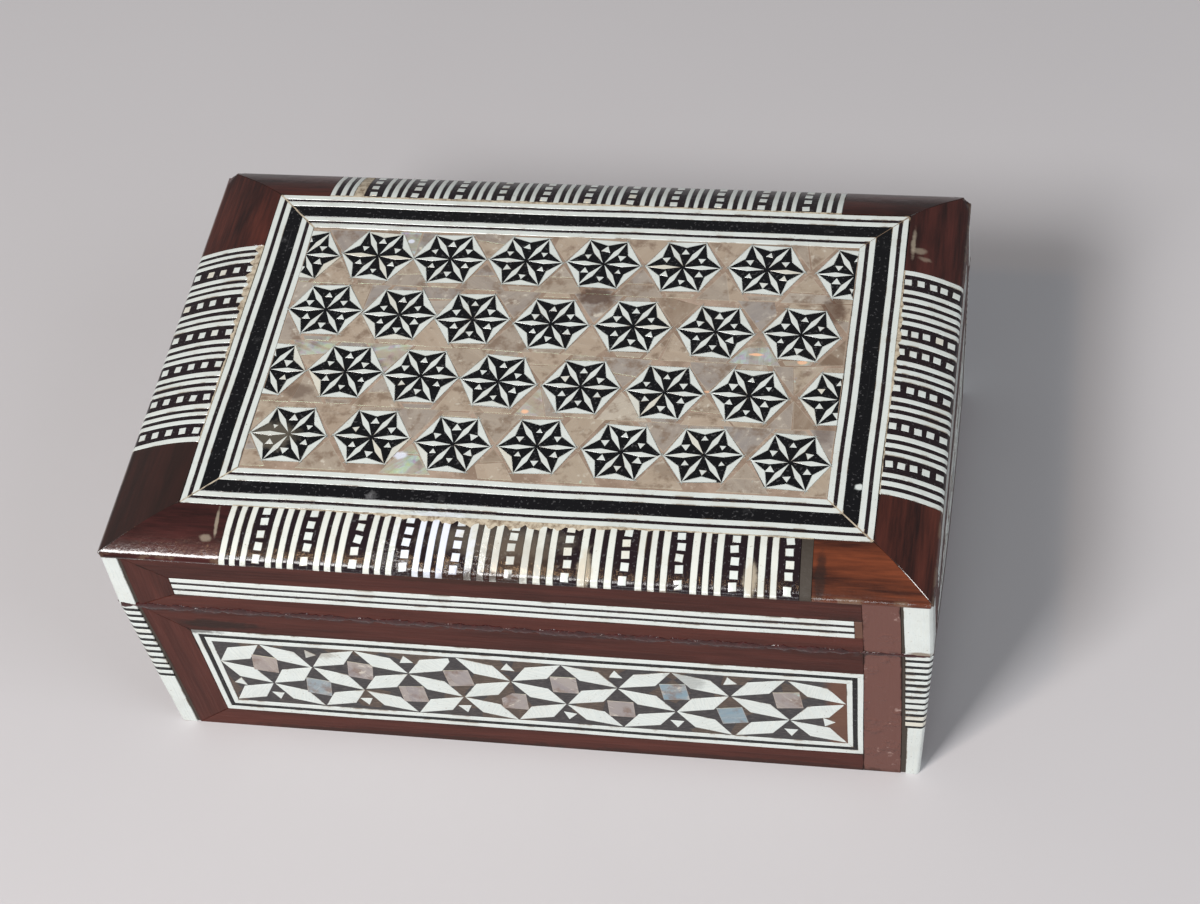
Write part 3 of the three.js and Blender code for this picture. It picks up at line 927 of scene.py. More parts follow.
def black_wood(colours):
    """Black wood with fine scratches and dust. Tone turns it purple-brown, as the thin lines are,
    and paint brings out the rubbed grey blotches of the wide band."""
    material, tree, place = new_material("Black wood", Specular_IOR_Level=0.32)
    brown = ranged(tree, mark(tree, "tone"), 0.5, 0.9)
    colour = blend_of(tree, brown, colours.black, colours.black_brown)
    scratch = effect(tree, "grain", 1, stretch=40.0, fineness=3200.0)
    worn = ranged(tree, scratch, 0.72, 0.95)
    dust = effect(tree, "specks", 0, fineness=2100.0, level=0.62)
    rubbed = ranged(tree, noise(tree, place, 110.0, 3.0, 0.6), 0.5, 0.72)
    chain = ranged(tree, noise(tree, place, 420.0, 4.0, 0.65), 0.54, 0.66)
    blotches = times(tree, times(tree, chain, rubbed), mark(tree, "paint"))
    marks = sum_of(tree, "MAXIMUM", times(tree, worn, rubbed), dust)
    marks = times_plus(tree, blotches, 0.9, times(tree, marks, 0.35), clamp=True)
    colour = blend_of(tree, marks, colour, colours.black_worn)
    colour = dirtied(tree, colour, 0.45, 0.35, colours.putty_dark)
    colour = with_stains_and_glints(tree, colour, INLAY_STAINS, colours)
    roughness = polished(tree, times_plus(tree, rubbed, 0.16, 0.3))
    bumps = times_plus(tree, varnish_lumps(tree, place), 6.0, scratch)
    return dressed(material, colour, roughness, bumps, 0.00001)


def shell(colours):
    """Mother-of-pearl: every piece beige, green-grey or pinkish, with growth lines, painted silvery
    highlights, and small patches painted in rainbow colours for the shell's iridescent glints."""
    material, tree, place = new_material("Mother of pearl", Thin_Film_Thickness=420.0,
                                          Thin_Film_IOR=1.6)
    tone = mark(tree, "tone")
    ramp = add(tree, "ValToRGB", {0: tone})
    stops = [(0.0, colours.shell_brown), (0.22, colours.shell_beige), (0.42, colours.shell_grey),
             (0.64, colours.shell_pink), (0.84, colours.shell_light), (1.0, colours.shell_blue)]
    while len(ramp.color_ramp.elements) < len(stops):
        ramp.color_ramp.elements.new(0.5)
    for stop, (position, colour) in zip(ramp.color_ramp.elements, stops):
        stop.position = position
        stop.color = colour
    growth = effect(tree, "grain", 0, stretch=5.0, fineness=1300.0)
    clouds = noise(tree, place, 420.0, 4.0, 0.6)
    colour = blend_of(tree, times(tree, growth, 0.3), ramp.outputs[0], colours.shell_light)
    dark = ranged(tree, clouds, 0.47, 0.68)
    colour = laid_over(tree, colour, dark, 0.8, colours.shell_brown)
    # Painted highlights: silvery patches along the growth lines, standing in for the shell's sheen
    painted_sheen = ranged(tree, noise(tree, place, 620.0, 3.0, 0.65), 0.56, 0.7)
    painted_sheen = times(tree, painted_sheen, ranged(tree, growth, 0.3, 0.8, 0.2, 0.9))
    colour = blend_of(tree, painted_sheen, colour, colours.shell_painted_sheen)
    # Painted iridescence: rainbow patches at random, and whole pieces where the paint attribute carries a
    # painted glint
    hue = add(tree, "CombineColor", {0: noise(tree, place, 900.0, 2.0, 0.5), 1: 0.45, 2: 0.95},
              mode="HSV").outputs[0]
    shine = ranged(tree, noise(tree, place, 300.0, 3.0, 0.7), 0.67, 0.78, 0.0, 0.6)
    flash = sum_of(tree, "MAXIMUM", shine, mark(tree, "paint"))
    lines = times(tree, flash, ranged(tree, growth, 0.25, 0.8, 0.25, 1.0))
    colour = blend_of(tree, lines, colour, hue)
    pale = times(tree, ranged(tree, mark(tree, "rim"), 0.25, 0.7), 0.35)
    colour = blend_of(tree, pale, colour, colours.shell_light)
    colour = dirtied(tree, colour, 0.5, 0.55, colours.joint)
    # Real stains, and the painted glints and glare of the mosaic
    colour = with_stains_and_glints(tree, colour, MOSAIC_STAINS_AND_GLINTS, colours)
    roughness = times_plus(tree, growth, 0.12, 0.2)
    bumps = sum_of(tree, "ADD", growth, clouds)
    return dressed(material, colour, roughness, bumps, 0.00003)


def resin(colours):
    """The beige filling that the mosaic lies in, cloudy, with flecks of shell and brown stains, and the
    mosaic's painted glints where they fall on it.
    """
    material, tree, place = new_material("Resin bed")
    clouds = ranged(tree, noise(tree, place, 160.0, 5.0, 0.65), 0.35, 0.68)
    colour = blend_of(tree, clouds, colours.resin_dark, colours.resin)
    flecks = ranged(tree, noise(tree, place, 1500.0, 2.0, 0.5), 0.6, 0.68)
    colour = laid_over(tree, colour, flecks, 0.5, colours.shell_light)
    # Real stains, and the painted glints and glare of the mosaic
    colour = with_stains_and_glints(tree, colour, MOSAIC_STAINS_AND_GLINTS, colours)
    roughness = times_plus(tree, clouds, 0.2, 0.35)
    return dressed(material, colour, roughness, clouds, 0.00008)


def dark_ground(colours):
    """The ground of the side panels: dark grey pieces with brown, horn-like patches."""
    material, tree, place = new_material("Dark ground")
    cell = add(tree, "TexVoronoi", {"Vector": place, "Scale": 210.0}, feature="F1").outputs["Color"]
    pick = add(tree, "SeparateColor", {0: cell}).outputs[0]
    horn = ranged(tree, pick, 0.74, 0.8)
    streaks = noise(tree, add(tree, "VectorMath", {0: place, 1: (1.0, 1.0, 4.0)},
                              operation="MULTIPLY").outputs[0], 900.0, 5.0, 0.7)
    dark = blend_of(tree, ranged(tree, streaks, 0.4, 0.75), colours.ground_dark, colours.ground_grey)
    light = blend_of(tree, ranged(tree, streaks, 0.45, 0.75), colours.ground_brown, colours.putty_dark)
    colour = blend_of(tree, times(tree, horn, 0.7), dark, light)
    end = add(tree, "SeparateXYZ", {0: place}).outputs[0]
    red = ranged(tree, end, 0.0455, 0.0475, 0.0, 0.75)
    colour = blend_of(tree, red, colour, colours.ground_red)
    roughness = times_plus(tree, streaks, 0.2, 0.25)
    return dressed(material, colour, roughness, streaks, 0.00004)


def putty(colours):
    """Filler in the joints, crumbly. Tone takes it from cream through grey-brown to a dark
    olive-brown."""
    material, tree, place = new_material("Putty")
    crumbs = noise(tree, place, 1100.0, 5.0, 0.7)
    colour = blend_of(tree, ranged(tree, crumbs, 0.4, 0.7), colours.putty, colours.putty_dark)
    tone = mark(tree, "tone")
    colour = blend_of(tree, ranged(tree, tone, 0.1, 0.55), colour, colours.putty_dark)
    colour = blend_of(tree, ranged(tree, tone, 0.55, 1.0), colour, colours.filler)
    roughness = times_plus(tree, crumbs, 0.3, 0.5)
    return dressed(material, colour, roughness, crumbs, 0.0001)


def lacquer(colours):
    """Dark red lacquer, wet-looking and lumpy, that has run into the seam."""
    material, tree, place = new_material("Seam lacquer")
    lumps = noise(tree, place, 900.0, 3.0, 0.6)
    colour = blend_of(tree, ranged(tree, lumps, 0.3, 0.7), colours.lacquer, colours.lacquer_light)
    roughness = times_plus(tree, lumps, 0.1, 0.08)
    return dressed(material, colour, roughness, lumps, 0.00016)


def plain_wood(colours):
    """Unlacquered inside of the box: red-brown, dry, with broad grain."""
    material, tree, place = new_material("Inner wood")
    stretched = add(tree, "VectorMath", {0: place, 1: (1.0, 9.0, 9.0)}, operation="MULTIPLY").outputs[0]
    grain = ranged(tree, noise(tree, stretched, 90.0, 5.0, 0.65), 0.35, 0.7)
    colour = blend_of(tree, grain, colours.inner_wood_dark, colours.inner_wood)
    roughness = times_plus(tree, grain, -0.1, 0.7)
    return dressed(material, colour, roughness, grain, 0.00006)


MATERIALS = {}
MAKERS = {
    "side_wood": side_wood,
    "bevel_wood": bevel_wood,
    "bone": bone,
    "black": black_wood,
    "shell": shell,
    "resin": resin,
    "ground": dark_ground,
    "putty": putty,
    "lacquer": lacquer,
    "inner_wood": plain_wood,
}


def finish_of(name):
    """The material of that name, made when it is first asked for."""
    if name not in MATERIALS:
        MATERIALS[name] = MAKERS[name](bpy.context.scene.inlaid_box_colours)
    return MATERIALS[name]


def length(title, description, millimetres):
    """A length that a user may change."""
    return bpy.props.FloatProperty(
        name=title, description=description, default=millimetres * MM, min=0.0, precision=5,
        subtype="DISTANCE", unit="LENGTH",
    )


def tint(title, description, red, green, blue):
    """A colour that a user may change, its default given in display values from 0 to 255."""
    return bpy.props.FloatVectorProperty(
        name=title, description=description, default=(*linear(red, green, blue), 1.0),
        size=4, min=0.0, max=1.0, subtype="COLOR",
    )


class INLAIDBOX_sizes(bpy.types.PropertyGroup):
    """Sizes of the cut lines, stars and stripes."""

    frame_bone: length("Frame bone line", "Width of a bone line in the top frame", 0.95)
    stripe_bone: length("Bone stripe", "Width of a bone stripe on the bevel", 0.98)
    stripe_black: length("Black stripe", "Width of a black stripe on the bevel", 0.72)
    stripe_checker: length("Squared stripe", "Width of a black stripe with squares", 3.1)
    stripe_putty: length("Putty stripe", "Width of a gap filled with putty", 1.6)
    square: length("Bone square", "Side of a bone square on the bevel", 1.2)
    panel_bone: length("Panel bone line", "Width of a bone line round a side panel", 0.95)
    panel_black: length("Panel black line", "Width of the black line between them", 0.75)
    lid_black: length("Lid black line", "Width of a black line on the lid's sides", 0.55)
    star_period: length("Star period", "Distance between stars in a side panel", 16.5)
    pearl_square: length("Pearl square", "Side of a pearl square in a side panel", 4.1)
    corner_bone: length("Corner bone stripe", "Height of a bone stripe at a corner", 0.93)
    corner_black: length("Corner black stripe", "Height of a black stripe there", 0.61)
    rosette: length("Rosette radius", "From a rosette's middle to its corner", 6.05)
    petal: length("Petal width", "Width of a rosette's petal", 0.95)
    rosette_rows: bpy.props.IntProperty(
        name="Rosette rows", description="Rows of rosettes in the mosaic", default=4, min=1,
    )
    rosettes_in_row: bpy.props.IntProperty(
        name="Rosettes in a row", description="Rosettes along the mosaic", default=7, min=1,
    )


class INLAIDBOX_colours(bpy.types.PropertyGroup):
    """Colours of the woods, bone, shell and fillers."""

    side_wood_dark: tint("Side wood, dark", "Dark grain of the sides", 48, 24, 20)
    side_wood_light: tint("Side wood, light", "Light grain of the sides", 92, 48, 40)
    bevel_wood_dark: tint("Bevel wood, dark", "Dark grain of the bevel", 30, 12, 10)
    bevel_wood: tint("Bevel wood", "Body of the bevel's wood", 72, 32, 32)
    bevel_wood_light: tint("Bevel wood, light", "Its warmest pieces", 122, 62, 36)
    inner_wood_dark: tint("Inner wood, dark", "Dark grain inside", 74, 42, 30)
    inner_wood: tint("Inner wood", "Light grain inside", 120, 76, 54)
    paint: tint("Paint", "Flat brown paint at the right end", 108, 74, 67)
    paint_glint: tint("Painted glint on paint", "Painted pale glints on the paint", 176, 150, 142)
    bone: tint("Bone", "Cut bone", 216, 224, 222)
    bone_cream: tint("Cream bone", "Aged bone", 218, 209, 188)
    bone_shade: tint("Shaded bone", "Duller patches", 190, 196, 192)
    painted_glare: tint("Painted glare on bone and shell", "Painted bluish-white reflection", 226, 232, 248)
    black: tint("Black wood", "Black wood", 13, 13, 16)
    black_brown: tint("Black lines", "Purple-brown of the thin lines", 32, 22, 26)
    black_worn: tint("Worn black", "Rubbed black wood", 104, 104, 106)
    shell_brown: tint("Shell, brown", "Brown shell", 126, 104, 87)
    shell_beige: tint("Shell, beige", "Beige shell", 176, 158, 140)
    shell_grey: tint("Shell, grey", "Green-grey shell", 170, 154, 136)
    shell_pink: tint("Shell, pink", "Pinkish shell", 146, 138, 135)
    shell_light: tint("Shell, light", "Light shell", 192, 180, 164)
    shell_blue: tint("Shell, blue", "Blue-grey shell", 126, 150, 161)
    shell_painted_sheen: tint("Shell, painted sheen", "Painted silvery highlights", 206, 198, 184)
    resin: tint("Resin", "Filling of the mosaic", 174, 154, 138)
    resin_dark: tint("Resin, dark", "Its darker clouds", 142, 122, 106)
    joint: tint("Joints", "Joints between pieces of shell", 124, 104, 88)
    warm_glint: tint("Warm glint", "Lamp light caught in the shell", 250, 196, 158)
    stain: tint("Stain", "Brown stains in the mosaic", 84, 56, 42)
    ground_dark: tint("Ground", "Dark ground of the panels", 38, 36, 39)
    ground_grey: tint("Ground, grey", "Its grey streaks", 80, 75, 74)
    ground_brown: tint("Ground, brown", "Its brown patches", 78, 62, 50)
    ground_red: tint("Ground, red", "Its red-brown right end", 104, 62, 38)
    putty: tint("Putty", "Cream filler", 200, 189, 168)
    putty_dark: tint("Putty, dark", "Dirty filler", 122, 103, 83)
    filler: tint("Dark filler", "Filler in the grooves at the corners", 56, 48, 40)
    varnish: tint("Varnish", "Dark varnish pools", 52, 30, 22)
    grime: tint("Grime", "Dirt in the joints of the wood", 40, 28, 24)
    lacquer: tint("Seam lacquer", "Lacquer in the seam", 42, 9, 8)
    lacquer_light: tint("Seam lacquer, light", "Thin lacquer", 62, 16, 13)
    floor: tint("Floor", "The floor it stands on", 203, 201, 204)


def octagon(left, right, front, back, cut, height):
    """A rectangle with cut corners, counterclockwise, as one ring of a shell."""
    return [
        (left + cut, front, height), (right - cut, front, height),
        (right, front + cut, height), (right, back - cut, height),
        (right - cut, back, height), (left + cut, back, height),
        (left, back - cut, height), (left, front + cut, height),
    ]


def box_ring(margin, height, cut_share=1.0):
    """The plan of the box moved in by a margin, at a height."""
    cut = max(CORNER_CUTS["back_left"] * cut_share - margin * (2 - math.sqrt(2)), 0.05)
    x, y = HALF_LENGTH - margin, HALF_DEPTH - margin
    return octagon(-x, x, -y, y, cut, height)


class INLAIDBOX_OT_boxes(bpy.types.Operator):
    """Makes the hollow wooden boxes of the base and the lid that the thin plates are glued to"""

    bl_idname = "inlaid_box.make_boxes"
    bl_label = "Hollow boxes"

    def execute(self, context):
        rings = [box_ring(*ring) for ring in (
            (VENEER + EASE, 0.0), (VENEER, EASE), (VENEER, BASE_RIM - EASE),
            (VENEER + EASE, BASE_RIM), (LIP_MARGIN, BASE_RIM), (LIP_MARGIN, LIP_TOP - EASE),
            (LIP_MARGIN + EASE, LIP_TOP), (BASE_WALL - EASE, LIP_TOP, 0.0),
            (BASE_WALL, LIP_TOP - EASE, 0.0), (BASE_WALL, BASE_FLOOR + EASE, 0.0),
            (BASE_WALL + EASE, BASE_FLOOR, 0.0),
        )]
        make_piece("base_box", [ring_shell(rings)], "inner_wood", ["base_carcass"])
        rings = [box_ring(*ring) for ring in (
            (LID_WALL + EASE, BED - LID_ROOF), (LID_WALL, BED - LID_ROOF - EASE),
            (LID_WALL, LID_BOTTOM + EASE), (LID_WALL - EASE, LID_BOTTOM),
            (VENEER + EASE, LID_BOTTOM), (VENEER, LID_BOTTOM + EASE),
            (VENEER, BEVEL_EDGE - PLATE - FIT_GAP),
        )]
        for share in (0.15, 0.3, 0.45, 0.6, 0.8, 1.0):
            rings.append(octagon(
                share * FRAME_EDGE["left"] - HALF_LENGTH,
                HALF_LENGTH - share * FRAME_EDGE["right"],
                share * FRAME_EDGE["front"] - HALF_DEPTH,
                HALF_DEPTH - share * FRAME_EDGE["back"],
                0.4 + CORNER_CUTS["back_left"] * (1 - share),
                float(bevel_height(share)) - PLATE - FIT_GAP,
            ))
        make_piece("lid_box", [ring_shell(rings)], "inner_wood", ["lid_carcass"])
        return {"FINISHED"}


def upright(place, way):
    """Turns a side's placing by a quarter, so that a strip's length runs up the side. V is the
    distance from the side's middle towards the end that way points to, and u is the height, or
    at the high end its negative."""
    return lambda u, v, lift, sink=0.0: place(way * v, -way * u, lift, sink)


def mitred_frame(side, outer, inner, half, border_width, seed, painted):
    """Four plates of veneer on a side, round an inlaid rectangle: two rails and two stiles. A
    mitre runs straight from the rectangle's corner to the side's corner. The stile at a painted
    end is flat brown and butts against the rails."""
    place = fitted_face(side)
    reach = half + border_width
    joint = 0.04
    options = {"sink": SINK, "fade": (0.5, 0.5), "lift": VENEER_LIFT, "gloss": 0.32, "rim": 0.06}

    def rail(number, low_v, high_v, far):
        """A rail between two heights. Its half length grows from the rectangle to the outside."""

        def half_length(v):
            share = np.abs(v - far) / (high_v - low_v)
            return half + border_width * (1 - share) - joint

        high_end = (lambda v: half + 0 * v) if painted else half_length
        return strips(place, (lambda v: -half_length(v), high_end), (low_v, high_v), (12, 0),
                      seed=seed + number, **options)

    def stile(way):
        """A stile at one end of the side. Its ends follow the mitres."""
        flat = painted and way > 0
        share = 0.0 if flat else 1.0

        def low_end(v):
            return outer[0] + share * (inner[0] - outer[0]) * (reach - v) / border_width + joint

        def high_end(v):
            return outer[1] - share * (outer[1] - inner[1]) * (reach - v) / border_width - joint

        ends = (low_end, high_end) if way < 0 else (lambda v: -high_end(v), lambda v: -low_end(v))
        return strips(upright(place, way), ends, (half + joint, reach - joint), (12, 0),
                      seed=seed + 5 + way, paint=float(flat), **options)

    return [
        rail(0, outer[0], inner[0] - joint, outer[0]),
        rail(1, inner[1] + joint, outer[1], outer[1]),
        stile(-1),
        stile(1),
    ]


def grooves(side, heights, seed):
    """The two filled grooves of a side, between its veneer and the strips at its corners."""
    parts = []
    for way, corner in ((-1, CORNER_AFTER[neighbours(side)[0]]), (1, CORNER_AFTER[side])):

        def near(v):
            return SPAN[side] - strip_room(corner, v) + 0.02

        def far(v):
            return SPAN[side] - strip_width(corner, v) - 0.02

        ends = (near, far) if way > 0 else (lambda v: -far(v), lambda v: -near(v))
        parts.append(strips(side_face(side), ends, heights, (1, 12), sink=0.6, rim=0.02,
                            lift=VENEER_LIFT - 0.14, seed=seed + 1 + way, tone=0.95))
    return parts


class INLAIDBOX_OT_veneer(bpy.types.Operator):
    """Makes the mitred wooden frames round the inlaid panels of the base and the lid, and the
    filled grooves between them and the corner strips"""

    bl_idname = "inlaid_box.make_veneer"
    bl_label = "Wooden frames of the sides"

    def execute(self, context):
        lid_heights = (LID_BOTTOM, BEVEL_EDGE - BEVEL_LIP)
        base, lid, filled = [], [], []
        for number, side in enumerate(SIDES):
            half = PANEL_HALF[side]
            width = SPAN[side] - CORNER_STRIP - GROOVE - half
            painted = side == "front"
            base += mitred_frame(side, (0.0, BASE_RIM), PANEL_HEIGHTS, half, width,
                                 10 * number, painted)
            lid += mitred_frame(side, lid_heights, LINE_HEIGHTS, half, width,
                                100 + 10 * number, painted)
            filled += grooves(side, (0.1, BASE_RIM - 0.1), 10 * number)
            filled += grooves(side, (LID_BOTTOM + 0.1, lid_heights[1]), 100 + 10 * number)
        make_piece("base_side_veneer", base, "side_wood")
        make_piece("lid_side_veneer", lid, "side_wood")
        make_piece("groove_filler", filled, "putty")
        return {"FINISHED"}


def border_strips(side, half, heights, widths, finishes):
    """Mitred lines just inside a rectangle on a side, from the outside in. Returns the plates of
    each finish."""
    place = side_face(side)
    made = {finish: [] for finish in finishes}
    inset_by = 0.0
    low_edge, high_edge = heights
    for number, (width, finish) in enumerate(zip(widths, finishes)):
        near, far = inset_by + LINE_JOINT, inset_by + width - LINE_JOINT
        options = {**SIDE_INLAY, "tone": 0.2 + 0.15 * number}
        for v_ends, way in (((low_edge + near, low_edge + far), 1),
                            ((high_edge - far, high_edge - near), -1)):
            edge = low_edge if way > 0 else high_edge

            def half_length(v):
                return half - np.abs(v - edge)

            made[finish].append(strips(place, (lambda v: -half_length(v), half_length), v_ends,
                                       (30, 0), sway=0.05, seed=7 + way, **options))
        for way in (-1, 1):
            bottom = lambda v: low_edge + half - v
            top = lambda v: high_edge - half + v
            ends = (bottom, top) if way < 0 else (lambda v: -top(v), lambda v: -bottom(v))
            made[finish].append(strips(upright(place, way), ends, (half - far, half - near),
                                       (12, 0), sway=0.03, seed=9 + way, **options))
        inset_by += width
    return made


def rhombs(starts, steps, side_vertex):
    """Long parallelograms, counterclockwise, on lattice edges that run down to the right or to
    the left: both ends on the edge, and two side corners off its middle."""
    middle = starts + steps / 2
    way = np.sign(steps[:, :1])
    offset = np.array(side_vertex) * np.concatenate([way, np.ones_like(way)], 1)
    ends = starts + steps * 0.015, starts + steps * 0.985
    outline = np.stack([ends[0], middle - offset, ends[1], middle + offset], 1)
    return np.where(way[:, None] > 0, outline, outline[:, ::-1])


def loose(outlines, random, shift=0.05, turn=0.03, size=0.0):
    """Outlines moved, turned and resized a little, as they were cut and laid by hand."""
    middle = outlines.mean(1, keepdims=True)
    angle = random.normal(0, turn, (len(outlines), 1))
    offset = (outlines - middle) * (1 + random.normal(0, size, (len(outlines), 1, 1)))
    turned_offset = np.stack([
        offset[..., 0] * np.cos(angle) - offset[..., 1] * np.sin(angle),
        offset[..., 1] * np.cos(angle) + offset[..., 0] * np.sin(angle),
    ], -1)
    return middle + turned_offset + random.normal(0, shift, middle.shape)


def regular(centres, radii, angles, corners):
    """Regular outlines of a number of corners round centres."""
    step = np.arange(corners) * 2 * math.pi / corners
    direction = np.reshape(angles, (-1, 1)) + step
    ring = np.stack([np.cos(direction), np.sin(direction)], -1)
    return np.asarray(centres, float)[:, None] + np.reshape(radii, (-1, 1, 1)) * ring


def lattice(half, top, bottom, period):
    """The nodes of the stars on a side panel, as rows of points from the top border down: rows
    one and three stand half a period off."""
    count = max(round(2 * half / period), 1)
    whole = np.linspace(-half, half, count + 1)
    middle = (whole[:-1] + whole[1:]) / 2
    heights = np.linspace(top, bottom, 4)
    rows = (middle, whole, middle, whole)
    return [np.stack([row, np.full(len(row), height)], 1) for row, height in zip(rows, heights)]


def star_panel(side, sizes, seed):
    """The bone rhombs and triangles and the pearl squares of one side panel."""
    random = np.random.default_rng(seed)
    line = (2 * sizes.panel_bone + sizes.panel_black) / MM
    half = PANEL_HALF[side] - line
    low_edge, high_edge = PANEL_HEIGHTS[0] + line, PANEL_HEIGHTS[1] - line
    rows = lattice(half, high_edge - 0.1, low_edge + 0.1, sizes.star_period / MM)
    if side == "front":
        for row in rows:
            share = row[:, 0] / half
            row[:, 0] -= PANEL_DRIFT * (1 - share**2) * (1 + 0.1 * share)
    starts, stops = [], []
    for upper, lower in zip(rows[:-1], rows[1:]):
        gap = abs(lower[:, None, 0] - upper[None, :, 0])
        joined = np.argwhere(gap < JOINED_WITHIN * half / len(rows[0]))
        starts.append(upper[joined[:, 1]])
        stops.append(lower[joined[:, 0]])
    starts, stops = np.concatenate(starts), np.concatenate(stops)
    bone_tiles = loose(rhombs(starts, stops - starts, STAR_RHOMB), random, 0.06, 0.015)
    above = rows[1][1:-1] + [0, (high_edge - low_edge) * TRIANGLE_ABOVE]
    below = rows[2] - [0, (high_edge - low_edge) * TRIANGLE_BELOW]
    aside = half / len(rows[0]) * TRIANGLE_ASIDE
    ends = rows[2][[0, -1]] + [[-aside, 0], [aside, 0]]
    places = np.concatenate([above, below, ends])
    quarter = math.pi / 2
    angles = np.concatenate([
        np.full(len(above), quarter), np.full(len(below), -quarter), [math.pi, 0],
    ])
    angles = angles + random.normal(0, 0.1, len(angles))
    angles[0] += 0.5
    triangles = regular(places, TRIANGLE_RADIUS + 0 * angles, angles, 3)
    pearl_places = np.concatenate([(rows[1][:-1] + rows[1][1:]) / 2,
                                   (rows[2][:-1] + rows[2][1:]) / 2])
    squares = regular(pearl_places, sizes.pearl_square / MM / math.sqrt(2),
                      math.pi / 4 + random.normal(0, 0.09, len(pearl_places)), 4)
    return bone_tiles, loose(triangles, random, 0.12, 0.05), loose(squares, random, 0.12, 0.0)


def side_panel(side, number, sizes):
    """Makes one side's star panel."""
    widths = [sizes.panel_bone / MM, sizes.panel_black / MM, sizes.panel_bone / MM]
    place = side_face(side)
    half = PANEL_HALF[side]
    line = sum(widths)
    ground = strips(
        place, (line - half, half - line),
        (PANEL_HEIGHTS[0] + line, PANEL_HEIGHTS[1] - line), (10, 2), sink=SINK,
        lift=INLAY_LIFT - 0.05, seed=number, gloss=0.3,
    )
    make_piece(f"base_{side}_panel_ground", [ground], "ground",
               [f"base_{side}_panel"])
    lines = border_strips(side, half, PANEL_HEIGHTS, widths, ("bone", "black", "bone"))
    bone_tiles, triangles, squares = star_panel(side, sizes, 40 + number)
    stars = [
        tiles(place, bone_tiles, sink=0.4, lift=INLAY_LIFT, uneven=0.006, seed=number,
              gloss=0.45, fade=0.16, tone=0.5),
        tiles(place, triangles, sink=0.4, lift=INLAY_LIFT, uneven=0.01,
              seed=10 + number, gloss=0.45, fade=0.16),
    ]
    make_piece(f"base_{side}_panel_bone", lines["bone"] + stars, "bone")
    make_piece(f"base_{side}_panel_black_line", lines["black"], "black")
    tones = np.resize(SQUARE_TONES, len(squares))
    pearl = tiles(place, squares, sink=0.4, lift=INLAY_LIFT, uneven=0.008,
                  seed=20 + number, tone=tones, gloss=0.6)
    make_piece(f"base_{side}_panel_squares", [pearl], "shell")


class INLAIDBOX_OT_side_panels(bpy.types.Operator):
    """Makes the star panels on the four sides of the base: a dark ground, bone rhombs and
    triangles, squares of shell and the lines round them"""

    bl_idname = "inlaid_box.make_side_panels"
    bl_label = "Star panels"

    def execute(self, context):
        for number, side in enumerate(SIDES):
            side_panel(side, number, context.scene.inlaid_box_sizes)
        return {"FINISHED"}


class INLAIDBOX_OT_lid_lines(bpy.types.Operator):
    """Makes the lines of bone and black wood along the four sides of the lid"""

    bl_idname = "inlaid_box.make_lid_lines"
    bl_label = "Lines round the lid"

    def execute(self, context):
        sizes = context.scene.inlaid_box_sizes
        total = LINE_HEIGHTS[1] - LINE_HEIGHTS[0]
        black = sizes.lid_black / MM
        bone_width = (total - 2 * black) / 3
        starts = LINE_HEIGHTS[0] + np.arange(3) * (bone_width + black)
        for number, side in enumerate(SIDES):
            half = PANEL_HALF[side]
            place = side_face(side)
            options = {**SIDE_INLAY, "sway": 0.06, "seed": 30 + number}
            stop = half - FILLER_LENGTH if side == "front" else half
            white = strips(place, (-half, stop), (starts + LINE_JOINT,
                           starts + bone_width - LINE_JOINT), (30, 0), tone=[0.1, 0.3, 0.2],
                           **options)
            dark = strips(place, (-half, stop), (starts[:2] + bone_width + LINE_JOINT,
                          starts[1:] - LINE_JOINT), (30, 0), tone=0.9, **options)
            if side == "front":
                filler = strips(place, (stop + 0.03, half), LINE_HEIGHTS, (2, 6), sink=0.6,
                                lift=INLAY_LIFT - 0.05)
                make_piece("lid_front_filler", [filler], "ground")
            make_piece(f"lid_{side}_bone_lines", [white], "bone",
                       [f"lid_{side}_lines"])
            make_piece(f"lid_{side}_black_lines", [dark], "black")
        return {"FINISHED"}


def corner_strips(side, corner, number, sizes):
    """Makes what wraps one corner: plain bone at the foot, stripes above it, and bone on the
    lid. Each stripe's lower edge drifts up or down a little."""
    pair = (sizes.corner_bone + sizes.corner_black) / MM
    count = max(round((BASE_RIM - FOOT_TOP) / pair), 1)
    pitch = (BASE_RIM - FOOT_TOP) / count
    bone_share = sizes.corner_bone / MM / pair
    lows = FOOT_TOP + np.arange(count) * pitch
    place = corner_face(side)

    def half(v):
        return strip_width(corner, v)

    ends = (lambda v: -half(v), half)
    random = np.random.default_rng(60 + number)
    drift = random.normal(0, 0.06, count)
    options = {**SIDE_INLAY, "seed": number, "rim": 0.05}
    foot = strips(place, ends, (0.0, FOOT_TOP - 0.06), (15, 8), tone=0.7,
                  crosswise=True, **options)
    make_piece(f"base_corner_foot_{corner}", [foot], "bone",
               [f"base_corner_bone_{corner}"])
    cut = lows + (1 - bone_share) * pitch + drift
    cut[-1] = min(cut[-1], BASE_RIM - 0.5)
    tops = np.append(lows[1:], BASE_RIM) - LINE_JOINT
    bones = strips(place, ends, (cut + LINE_JOINT, tops), (15, 0), **options)
    blacks = strips(place, ends, (lows + LINE_JOINT, cut - LINE_JOINT), (15, 0),
                    tone=0.3, **options)
    make_piece(f"base_corner_bone_stripes_{corner}", [bones], "bone",
               [f"base_corner_stripes_{corner}"])
    make_piece(f"base_corner_black_stripes_{corner}", [blacks], "black")
    lid_top = BEVEL_EDGE - BEVEL_LIP - CORNER_BONE_GAP
    cap = strips(place, ends, (LID_BOTTOM, lid_top), (15, 6), tone=0.8,
                 crosswise=True, **options)
    make_piece(f"lid_corner_bone_{corner}_plate", [cap], "bone",
               [f"lid_corner_bone_{corner}"])


